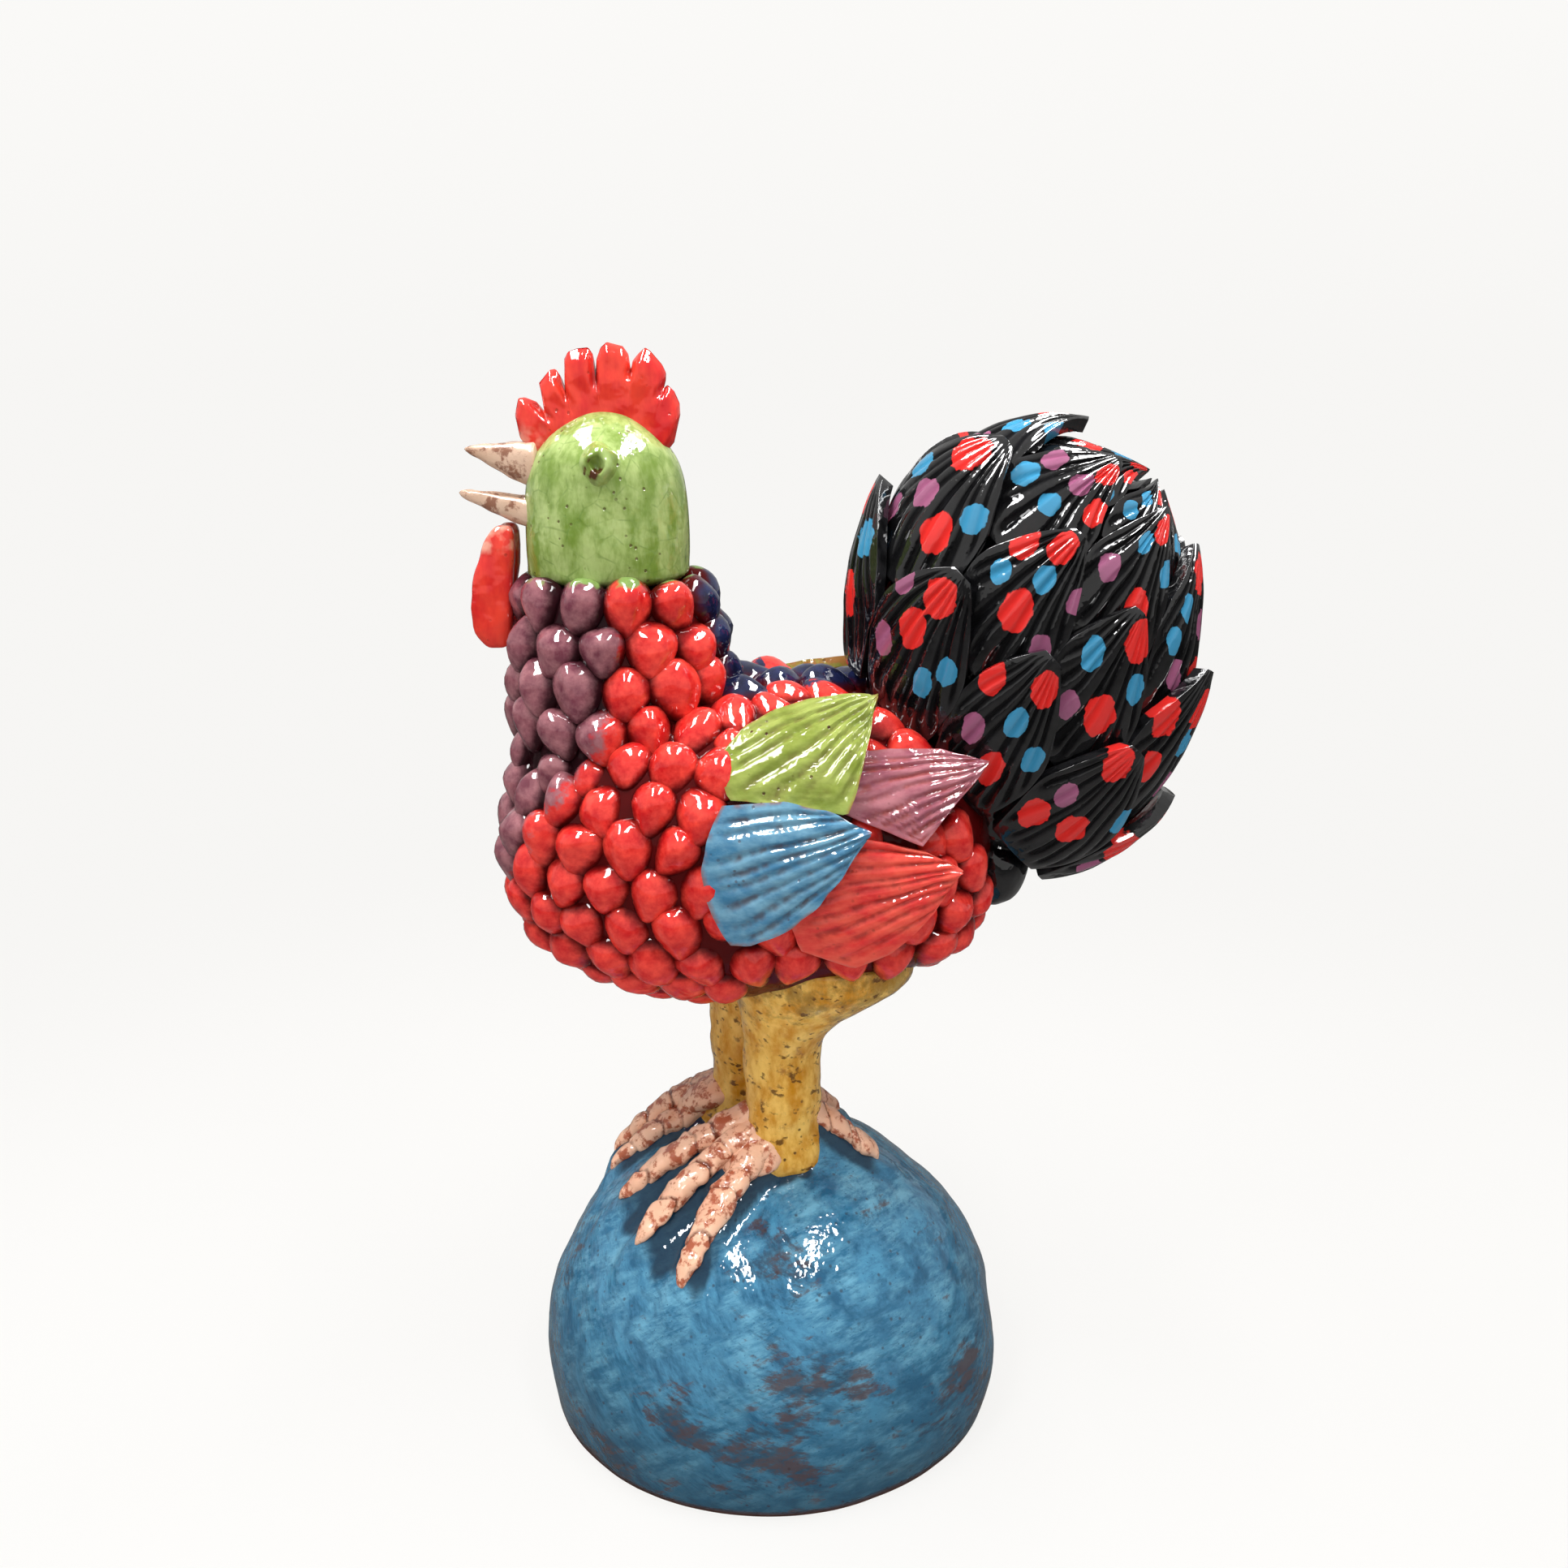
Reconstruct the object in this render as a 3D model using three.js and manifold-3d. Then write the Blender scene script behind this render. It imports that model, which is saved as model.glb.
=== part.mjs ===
// Glazed clay rooster standing on a hollow dome, about 257 mm tall.
// Millimetres, +Z up, foot ring on Z = 0. The bird looks along -X and its left side faces -Y.
import * as THREE from "three";
import { mergeVertices } from "three/addons/utils/BufferGeometryUtils.js";
import Module from "manifold-3d";

const wasm = await Module();
wasm.setup();

// Driving dimensions
const seam = 0.3; // slip line left between two luted pieces

// Dome base
const dome_radius = 57.6; // widest, a little above the foot
const dome_foot_radius = 56;
const dome_height = 66.5;
const dome_shoulder = 12; // height of the widest ring
const dome_wall = 8;
const dome_sides = 28; // facets round the dome
const dome_y = -4; // the bird stands a little behind the middle of the dome

// Legs and feet
const belly_clearance = 41; // from the crown of the dome to the belly
const leg_radius = 9.4;
const leg_sink = 8; // how deep a leg is worked into the crown of the dome
const thigh_side = 1.9; // growth of the thigh where it meets the belly
const thigh_front = 1.4; // the same towards the head
const thigh_back = 3.5; // and towards the tail, where the clay was smeared backwards
const thigh_height = 26;
const leg_spread = 10.5; // from the middle plane to a leg
const left_leg_x = 3.5;
const right_leg_x = -5.5;
const left_foot_turn = 30.5; // degrees outwards
const right_foot_turn = 8;
const left_toe_reach = 41; // from the middle of the leg to the toe tip
const right_toe_reach = 36.5;
const left_toe_spread = 23.5; // degrees between two front toes
const right_toe_spread = 16;
const toe_root_rise = 6; // how much higher a toe starts than it ends
const right_foot_lift = 3.5; // the right foot stands on thicker clay
const toe_width = 8.2;
const toe_rise = 5.4;
const back_toe_reach = 24;
const back_toe_root_rise = 13;
const back_toe_turn = 5; // degrees away from straight back
const palm_radius = 10.5;

// Torso and neck
const torso_x = -3;
const torso_half_length = 56;
const torso_half_width = 37;
const torso_half_height = 36.5;
const torso_fullness = 2.4; // 2 is a plain egg, higher is boxier
const neck_x = -34;
const neck_top_radius = 18.6;
const neck_root_radius = 28.5;
const neck_lean = 5; // how far the root lies behind the top
const neck_height = 62; // from the middle of the torso to the collar

// Pellets
const pellet_width = 9.8;
const pellet_length = 10.2;
const pellet_rise = 5;
const pellet_pitch = 10.7;
const course_pitch = 9;
const sweep_ahead = 17; // from the middle of the torso forward to where pellets start to lean back
const sweep_run = 45; // distance over which they come to lean fully
const pellet_anchor = -27; // from the middle of the torso to the line where courses are set out

// Head
const head_forward = 1.2; // ahead of the middle of the collar
const head_height = 37;
const head_radius = 18.6;
const head_flatness = 0.93; // width over length
const crown_depth = 12; // from the top of the head to the middle of the comb
const comb_half_length = 18.8;
const comb_forward = 1.2; // ahead of the middle of the head
const comb_rise = 26.5; // from the middle of the comb to the tooth tips
const comb_bite = 5.6; // depth of the cuts between the teeth
const comb_thickness = 6;
const comb_teeth = 6;
const beak_length = 12.5;
const beak_width = 13;
const upper_beak_height = 7.5;
const lower_beak_height = 6;
const mouth_height = 20; // above the collar
const mouth_gap = 3;
const wattle_length = 27;
const wattle_width = 10;
const wattle_thickness = 5;
const eye_radius = 4.2;
const eye_rise = 4.6;

// Wing feathers
const feather_thickness = 3.4;

// Tail
const tail_back = 61; // from the middle of the torso to the middle of the tail
const tail_up = 40;
const tail_flow = 50; // degrees above level in which the feathers run
const tail_half_length = 35;
const tail_half_height = 48.5;
const tail_half_width = 22;
const root_back = 57; // pad of clay under the tail, from the middle of the torso
const root_down = 6;
const root_half_length = 9;
const root_half_width = 15;
const root_half_height = 11.5;
const leaf_thickness = 3.8;
const leaf_first = 52; // degrees from the root end where the first row starts
const leaf_row_step = 29;
const leaf_span = 46;
const leaf_end = 176; // degrees from the root end where the last row stops
const leaf_side_gap = 0.05; // share of the spacing left open between two leaves
const leaf_counts = [8, 8, 7, 5];

// Places that follow from the sizes
const turn = Math.PI / 180;
const torso_z = dome_height + belly_clearance + torso_half_height;
const neck_top = torso_z + neck_height;
const head_x = neck_x - head_forward;
const tail_x = torso_x + tail_back;
const tail_z = torso_z + tail_up;

// Glazes and bare clay, read from the picture
const glaze = {
  blue: [0x2f7fae, 0.22],
  ochre: [0xc09538, 0.35],
  bisque: [0xd3a288, 0.5],
  red: [0xc6222b, 0.2],
  mauve: [0x8a4f78, 0.25],
  green: [0x86b24c, 0.25],
  sky: [0x2f80b4, 0.25],
  cream: [0xd7bda6, 0.5],
  black: [0x101012, 0.15],
};

// Turn a three.js geometry into a closed solid
function solid(geometry) {
  const bare = geometry.index ? geometry.toNonIndexed() : geometry.clone();
  for (const extra of ["normal", "uv"]) bare.deleteAttribute(extra);
  const joined = mergeVertices(bare, 1e-3);
  const spot = joined.attributes.position;
  const faces = [];
  let volume = 0;
  const a = new THREE.Vector3();
  const b = new THREE.Vector3();
  const c = new THREE.Vector3();
  for (let i = 0; i < joined.index.count; i += 3) {
    const [p, q, r] = [0, 1, 2].map((k) => joined.index.getX(i + k));
    if (p === q || q === r || r === p) continue;
    a.fromBufferAttribute(spot, p);
    b.fromBufferAttribute(spot, q);
    c.fromBufferAttribute(spot, r);
    volume += a.dot(b.cross(c));
    faces.push(p, q, r);
  }
  if (volume < 0) {
    for (let i = 0; i < faces.length; i += 3) [faces[i], faces[i + 1]] = [faces[i + 1], faces[i]];
  }
  const mesh = new wasm.Mesh({
    numProp: 3,
    vertProperties: new Float32Array(spot.array),
    triVerts: new Uint32Array(faces),
  });
  return new wasm.Manifold(mesh);
}

// Move every point of a geometry with a rule
function shaped(geometry, place) {
  const spot = geometry.attributes.position;
  for (let i = 0; i < spot.count; i += 1) {
    const to = place(spot.getX(i), spot.getY(i), spot.getZ(i));
    spot.setXYZ(i, to.x, to.y, to.z);
  }
  return solid(geometry);
}

// Keep the main body when a cut leaves crumbs beside it
function main_body(shape) {
  const bodies = shape.decompose();
  let best = bodies[0];
  for (const body of bodies) if (body.volume() > best.volume()) best = body;
  return best;
}

function cut(shape, ...tools) {
  let left = shape;
  for (const tool of tools) left = left.subtract(tool);
  return main_body(left);
}

function smooth(x) {
  const t = Math.min(1, Math.max(0, x));
  return t * t * (3 - 2 * t);
}

// Steady small variation for hand-made pieces
function wobble(n) {
  const s = Math.sin(n * 12.9898) * 43758.5453;
  return 2 * (s - Math.floor(s)) - 1;
}

function surface(shape) {
  const data = shape.getMesh();
  const points = [];
  for (let i = 0; i < data.vertProperties.length; i += data.numProp) {
    for (let k = 0; k < 3; k += 1) points.push(data.vertProperties[i + k]);
  }
  const geometry = new THREE.BufferGeometry();
  geometry.setAttribute("position", new THREE.Float32BufferAttribute(points, 3));
  return geometry.setIndex([...data.triVerts]);
}

// True when every edge still joins two faces after points closer than 0.001 mm have met
function stays_closed(shape) {
  const { index } = mergeVertices(surface(solid(surface(shape))), 1e-3);
  const seen = new Set();
  for (let i = 0; i < index.count; i += 3) {
    for (let k = 0; k < 3; k += 1) {
      const edge = `${index.getX(i + k)} ${index.getX(i + ((k + 1) % 3))}`;
      if (seen.has(edge)) return false;
      seen.add(edge);
    }
  }
  return true;
}

// Thin the facets; ease is how far, in millimetres, the skin may stray
function thinned(shape, ease) {
  const whole = shape.asOriginal();
  for (const share of [1, 0.8, 0.6, 0.4, 0.2]) {
    const light = whole.simplify(ease * share);
    if (stays_closed(light)) return light;
  }
  return whole;
}

const pieces = [];

function piece(name, shape, kind, ease = 0.05) {
  pieces.push({ name, shape, kind, ease });
}

// Dome base
function dome_outline(grow) {
  const line = [];
  const crown = dome_height - dome_shoulder;
  for (let i = 0; i <= 7; i += 1) {
    const a = (90 - (i * 90) / 7) * turn;
    const r = (dome_radius + grow) * Math.cos(a);
    line.push(new THREE.Vector2(i === 0 ? 0 : r, dome_shoulder + (crown + grow) * Math.sin(a)));
  }
  const waist = (dome_radius + dome_foot_radius) / 2 + 0.5;
  line.push(new THREE.Vector2(waist + grow, dome_shoulder * 0.4));
  line.push(new THREE.Vector2(dome_foot_radius + grow, 0));
  return line;
}

function lathe(line, sides) {
  return solid(new THREE.LatheGeometry(line, sides).rotateX(90 * turn));
}

function dome_filled(grow) {
  return lathe([...dome_outline(grow), new THREE.Vector2(0, 0)], dome_sides).translate([0, dome_y, 0]);
}

function dome_height_at(x, y) {
  const share = Math.min(0.99, Math.hypot(x, y - dome_y) / dome_radius);
  return dome_shoulder + (dome_height - dome_shoulder) * Math.sqrt(1 - share * share);
}

function dome_base() {
  const inside = dome_outline(-dome_wall).slice(0, -1).reverse();
  inside.unshift(new THREE.Vector2(dome_foot_radius - dome_wall, 0));
  return lathe([...dome_outline(0), ...inside], dome_sides).translate([0, dome_y, 0]);
}

// Torso, a full egg lying along X
function torso(grow) {
  const ball = new THREE.SphereGeometry(1, 18, 10).rotateZ(90 * turn);
  return shaped(ball, (x, y, z) => torso_point(x, y, z, grow));
}

function torso_point(x, y, z, grow) {
  const e = torso_fullness;
  const s = (Math.abs(x) ** e + Math.abs(y) ** e + Math.abs(z) ** e) ** (-1 / e);
  return new THREE.Vector3(
    torso_x + (torso_half_length + grow) * x * s,
    (torso_half_width + grow) * y * s,
    torso_z + (torso_half_height + grow) * z * s,
  );
}

function torso_share(p, grow) {
  const x = Math.abs(p.x - torso_x) / (torso_half_length + grow);
  const y = Math.abs(p.y) / (torso_half_width + grow);
  const z = Math.abs(p.z - torso_z) / (torso_half_height + grow);
  return x ** torso_fullness + y ** torso_fullness + z ** torso_fullness;
}

function torso_normal(p) {
  const e = torso_fullness - 1;
  const along = (d, half) => (Math.sign(d) * (Math.abs(d) / half) ** e) / half;
  return new THREE.Vector3(
    along(p.x - torso_x, torso_half_length),
    along(p.y, torso_half_width),
    along(p.z - torso_z, torso_half_height),
  ).normalize();
}

// Neck, a leaning column that swells into the breast
function neck_middle(z) {
  const t = (neck_top - z) / neck_height;
  return neck_x + neck_lean * t;
}

function neck_radius(z) {
  const t = Math.min(1, Math.max(0, (neck_top - z) / neck_height));
  return neck_top_radius + (neck_root_radius - neck_top_radius) * t ** 0.75;
}

function neck_column(grow) {
  const tube = new THREE.CylinderGeometry(1, 1, 1, 18, 2);
  return shaped(tube, (x, y, z) => {
    const level = torso_z + (y + 0.5) * neck_height;
    const lift = y > 0.49 ? grow : 0;
    const r = neck_radius(level) + grow;
    return new THREE.Vector3(neck_middle(level) + r * x, r * z, level + lift);
  });
}

function in_neck(p, grow) {
  if (p.z > neck_top || p.z < torso_z) return false;
  return Math.hypot(p.x - neck_middle(p.z), p.y) < neck_radius(p.z) + grow;
}

// Wing feathers lie on the flank in a sheet with x along the body and h around it. Each is drawn by
// its upper and lower edge from front to tip, as shares of half the torso's length and of the
// flank's radius; over is the length in which a feather rises by its own thickness.
const wing_middle = torso_half_width + 4;
const wings = [
  {
    name: "blue",
    kind: "sky",
    upper: [[-0.1, 0.46], [0.13, 0.47], [0.28, 0.42], [0.44, 0.335]],
    lower: [[-0.08, -0.3], [0, -0.3], [0.17, -0.18], [0.255, -0.05], [0.36, 0.17], [0.43, 0.315]],
    front: -0.18,
    over: 0.36,
  },
  {
    name: "green",
    kind: "green",
    upper: [[-0.09, 0.72], [0.12, 0.91], [0.3, 1.01], [0.5, 1.095]],
    lower: [[-0.07, 0.485], [0.13, 0.45], [0.36, 0.4], [0.42, 0.63], [0.49, 1.065]],
    front: -0.09,
    over: 0.46,
  },
  {
    name: "red",
    kind: "red",
    upper: [[0.2, 0.22], [0.43, 0.285], [0.66, 0.225], [0.765, 0.12]],
    lower: [[0.19, -0.38], [0.39, -0.47], [0.525, -0.37], [0.68, -0.14], [0.76, 0.1]],
    front: 0.18,
    over: 0.36,
  },
  {
    name: "mauve",
    kind: "mauve",
    upper: [[0.375, 0.74], [0.525, 0.77], [0.72, 0.775], [0.88, 0.715]],
    lower: [[0.35, 0.42], [0.645, 0.24], [0.695, 0.35], [0.815, 0.56], [0.88, 0.69]],
    front: 0.36,
    over: 0.46,
  },
];

// Lay a feather's edges out in millimetres
for (const f of wings) {
  for (const edge of ["upper", "lower"]) {
    f[edge] = f[edge].map(([x, h]) => new THREE.Vector2(torso_x + x * torso_half_length, h * wing_middle));
  }
  f.front = torso_x + f.front * torso_half_length;
  f.over *= torso_half_length;
}

// The point after a share of the length of a line of points
function on_line(line, share) {
  const steps = line.slice(1).map((p, i) => p.distanceTo(line[i]));
  let left = share * steps.reduce((sum, step) => sum + step, 0);
  for (let i = 0; i < steps.length; i += 1) {
    if (left <= steps[i]) return line[i].clone().lerp(line[i + 1], left / steps[i]);
    left -= steps[i];
  }
  return line[line.length - 1].clone();
}

function wing_surface(x, h) {
  const e = torso_fullness;
  const a = h / wing_middle;
  const k = 1 - (Math.abs(x - torso_x) / (torso_half_length * 1.35)) ** e;
  const y = Math.abs(Math.cos(a)) / torso_half_width;
  const z = Math.abs(Math.sin(a)) / torso_half_height;
  const r = Math.max(0.05, k) ** (1 / e) / (y ** e + z ** e) ** (1 / e);
  return new THREE.Vector3(x, r * Math.cos(a), torso_z + r * Math.sin(a));
}

function wing_normal(x, h) {
  const step = 0.5;
  const along = wing_surface(x + step, h).sub(wing_surface(x - step, h));
  const around = wing_surface(x, h + step).sub(wing_surface(x, h - step));
  return along.cross(around).multiplyScalar(-1).normalize();
}

function wing_feather(f, side, grow) {
  const box = new THREE.BoxGeometry(1, 1, 1, 7, 3, 1);
  const tip = on_line(f.upper, 1);
  const root = f.upper[0].clone().lerp(f.lower[0], 0.5);
  const along = tip.sub(root).normalize();
  return shaped(box, (bx, by, bz) => {
    const low = on_line(f.lower, bx + 0.5);
    const high = on_line(f.upper, bx + 0.5);
    const across = high.clone().sub(low).normalize();
    const spot = low.lerp(high, by + 0.5);
    spot.addScaledVector(across, 2 * by * grow).addScaledVector(along, 2 * bx * grow);
    const ramp = Math.max(0, spot.x - f.front) / f.over;
    const bulge = 1 - 0.25 * (2 * by) ** 2;
    let lift = seam + ramp * (feather_thickness + seam) - grow;
    if (bz > 0) lift += feather_thickness * bulge + 2 * grow;
    const p = wing_surface(spot.x, spot.y).addScaledVector(wing_normal(spot.x, spot.y), lift);
    p.y *= side;
    return p;
  });
}

function in_outline(outline, x, h) {
  let inside = false;
  outline.forEach((a, i) => {
    const b = outline[(i + 1) % outline.length];
    if (a.y > h !== b.y > h && x < a.x + ((h - a.y) / (b.y - a.y)) * (b.x - a.x)) inside = !inside;
  });
  return inside;
}

// True where a pellet would stand under a feather or within a fifth of its width of one
function under_wing(p) {
  const h = wing_middle * Math.atan2(p.z - torso_z, Math.abs(p.y));
  const margin = pellet_width * 0.2;
  for (const f of wings) {
    const outline = [...f.upper, ...f.lower.slice().reverse()];
    for (let k = 0; k < 360; k += 60) {
      const x = p.x + margin * Math.cos(k * turn);
      if (in_outline(outline, x, h + margin * Math.sin(k * turn))) return true;
    }
  }
  return false;
}

// Tail, an upright flattened egg; angle a runs from its root end, angle b around its flow
const tail_middle = new THREE.Vector3(tail_x, 0, tail_z);
const tail_half = new THREE.Vector3(tail_half_length, tail_half_width, tail_half_height);
const flow_way = new THREE.Vector3(Math.cos(tail_flow * turn), 0, Math.sin(tail_flow * turn));
const ridge_way = new THREE.Vector3(-flow_way.z, 0, flow_way.x);

function tail_point(a, b, lift) {
  const ring = Math.sin(a);
  const ball = flow_way.clone().multiplyScalar(-Math.cos(a));
  ball.addScaledVector(ridge_way, ring * Math.cos(b));
  ball.y = ring * Math.sin(b);
  const out = ball.clone().divide(tail_half).normalize();
  return ball.multiply(tail_half).addScaledVector(out, lift).add(tail_middle);
}

const tail_depth = ridge_way.clone().multiply(tail_half).length();

function egg(middle, half, sides, rings) {
  const ball = new THREE.SphereGeometry(1, sides, rings).rotateX(90 * turn);
  return shaped(ball, (x, y, z) => new THREE.Vector3(x, y, z).multiply(half).add(middle));
}

function tail_core() {
  const pad_middle = new THREE.Vector3(torso_x + root_back, 0, torso_z - root_down);
  const pad_half = new THREE.Vector3(root_half_length, root_half_width, root_half_height);
  return egg(tail_middle, tail_half, 14, 9).add(egg(pad_middle, pad_half, 10, 6));
}

function in_tail(p, grow) {
  const half = tail_half.clone().addScalar(grow);
  return p.clone().sub(tail_middle).divide(half).length() < 1;
}

// Angles that share a flattened ring into equal lengths
function even_angles(count, shift, wide, narrow) {
  const steps = 720;
  const runs = [0];
  for (let i = 1; i <= steps; i += 1) {
    const a = ((i - 0.5) / steps) * 2 * Math.PI;
    runs.push(runs[i - 1] + Math.hypot(wide * Math.sin(a), narrow * Math.cos(a)));
  }
  const at = (share) => {
    const goal = (((share % 1) + 1) % 1) * runs[steps];
    let i = 1;
    while (runs[i] < goal) i += 1;
    const part = (goal - runs[i - 1]) / (runs[i] - runs[i - 1]);
    return ((i - 1 + part) / steps) * 2 * Math.PI + 2 * Math.PI * Math.floor(share);
  };
  const out = [];
  for (let k = 0; k < count; k += 1) {
    const half = 0.5 / count;
    const mid = (k + shift) / count;
    out.push({ angle: at(mid), low: at(mid - half), high: at(mid + half) });
  }
  return out;
}

// Half width of a tail leaf from its broad root to its blunt tip
function leaf_half(u) {
  const widest = 0.42;
  if (u < widest) return 1 - 0.2 * (1 - u / widest) ** 2;
  return 1 - 0.84 * ((u - widest) / (1 - widest)) ** 1.8;
}

function tail_leaf(row, spot, grow) {
  const box = new THREE.BoxGeometry(1, 1, 1, 4, 3, 1);
  const first = (leaf_first + row * leaf_row_step) * turn;
  const span = Math.min(leaf_span, leaf_end - leaf_first - row * leaf_row_step) * turn;
  return shaped(box, (bx, by, bz) => {
    const u = bx + 0.5;
    const a = first + u * span;
    const reach = by > 0 ? spot.high - spot.angle : spot.angle - spot.low;
    const b = spot.angle + 2 * by * reach * leaf_half(u) * (1 - leaf_side_gap);
    const step = leaf_thickness + 2 * seam;
    let lift = seam + (u * span * step) / (leaf_row_step * turn) - grow;
    if (bz > 0) lift += leaf_thickness * (1 - 0.3 * (2 * by) ** 2) + 2 * grow;
    return tail_point(a, b, lift);
  });
}

// Legs
const legs = {
  left: {
    x: left_leg_x,
    y: -leg_spread,
    heading: (180 + left_foot_turn) * turn,
    reach: left_toe_reach,
    spread: left_toe_spread * turn,
    lift: 0,
  },
  right: {
    x: right_leg_x,
    y: leg_spread,
    heading: (180 - right_foot_turn) * turn,
    reach: right_toe_reach,
    spread: right_toe_spread * turn,
    lift: right_foot_lift,
  },
};

function leg(side, grow) {
  const { x, y } = legs[side];
  const low = dome_height_at(x, y) - leg_sink;
  const belly = torso_z - torso_half_height;
  const high = belly + torso_half_height * 0.5;
  const tube = new THREE.CylinderGeometry(1, 1, 1, 14, 7);
  return shaped(tube, (px, py, pz) => {
    const level = low + (py + 0.5) * (high - low);
    const flare = smooth((level - belly + thigh_height * 0.65) / thigh_height);
    const back = Math.max(0, px) ** 1.2;
    const front = Math.max(0, -px);
    const full = thigh_side + (thigh_back - thigh_side) * back + (thigh_front - thigh_side) * front;
    const swell = 1 + (full - 1) * flare ** 1.9;
    const r = leg_radius * swell + grow;
    return new THREE.Vector3(x + r * px, y + r * pz, level);
  });
}

// One toe lying on the dome, a tapering roll with a blunt point that slopes down from the leg
function toe(side, angle, reach, root_rise, tip_rise, grow) {
  const { x, y } = legs[side];
  const tube = new THREE.CylinderGeometry(1, 1, 1, 7, 5);
  const dx = Math.cos(angle);
  const dy = Math.sin(angle);
  return shaped(tube, (px, py, pz) => {
    const t = py + 0.5;
    const run = t * reach;
    const size = t < 0.7 ? 1 : Math.sqrt(Math.max(0.02, 1 - ((t - 0.7) / 0.31) ** 2));
    const wide = (toe_width / 2) * size * (1.1 - 0.2 * t) + grow;
    const tall = toe_rise * size * (1.15 - 0.3 * t) + grow;
    const cx = x + dx * run;
    const cy = y + dy * run;
    const slope = tip_rise * size + root_rise * (1 - t) ** 1.3;
    return new THREE.Vector3(
      cx - dy * wide * px,
      cy + dx * wide * px,
      dome_height_at(cx, cy) + tall * pz + (pz > 0 ? slope : 0),
    );
  });
}

function foot(side, grow) {
  const { x, y, heading, reach, spread, lift } = legs[side];
  const cx = x + Math.cos(heading) * palm_radius;
  const cy = y + Math.sin(heading) * palm_radius;
  const ball = new THREE.SphereGeometry(1, 10, 5);
  let shape = shaped(ball, (px, py, pz) => new THREE.Vector3(
    cx + (palm_radius + grow) * px,
    cy + (palm_radius + grow) * py,
    dome_height_at(cx, cy) + (toe_rise + grow) * pz + (pz > 0 ? toe_root_rise * 0.6 + lift : 0),
  ));
  for (const k of [-1, 0, 1]) {
    const root_rise = toe_root_rise * (1 - 0.4 * k);
    const tip_rise = k < 1 ? lift : 0;
    shape = shape.add(toe(side, heading + k * spread, reach, root_rise, tip_rise, grow));
  }
  return shape;
}

function back_toe(side, grow) {
  return toe(side, back_toe_turn * turn, back_toe_reach, back_toe_root_rise, 0, grow);
}

// Pellets keep clear of the thighs
function near_leg(p) {
  if (p.z > torso_z) return false;
  const aside = leg_radius * thigh_side + 2;
  for (const { x, y } of Object.values(legs)) {
    const reach = leg_radius * (p.x > x ? thigh_back : 1.3) + 3;
    if (Math.hypot((p.x - x) / reach, (p.y - y) / aside) < 1) return true;
  }
  return false;
}

// Half width of neck or torso, whichever is wider, at one height
function side_reach(z) {
  const k = 1 - (Math.abs(z - torso_z) / torso_half_height) ** torso_fullness;
  const flank = k > 0 ? torso_half_width * k ** (1 / torso_fullness) : 0;
  return z > torso_z && z < neck_top ? Math.max(flank, neck_radius(z)) : flank;
}

// Outline of neck and torso together at one height, as a point for each degree
function skin_ring(z) {
  const on_torso = z < torso_z + torso_half_height - 1.5;
  const cx = on_torso ? torso_x - torso_half_length * 0.28 : neck_middle(z);
  const inside = (p) => torso_share(p, 0) < 1 || in_neck(p, 0);
  const ring = [];
  for (let i = 0; i < 360; i += 1) {
    const way = new THREE.Vector3(Math.cos(i * turn), Math.sin(i * turn), 0);
    let low = 0;
    let high = torso_half_length * 2;
    for (let k = 0; k < 22; k += 1) {
      const half = (low + high) / 2;
      if (inside(new THREE.Vector3(cx, 0, z).addScaledVector(way, half))) low = half;
      else high = half;
    }
    ring.push(new THREE.Vector3(cx, 0, z).addScaledVector(way, low));
  }
  return ring;
}

function skin_normal(p) {
  if (torso_share(p, 0.5) < 1 || !in_neck(p, 0.5)) return torso_normal(p);
  return new THREE.Vector3(p.x - neck_middle(p.z), p.y, neck_radius(p.z) * 0.2).normalize();
}

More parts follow.
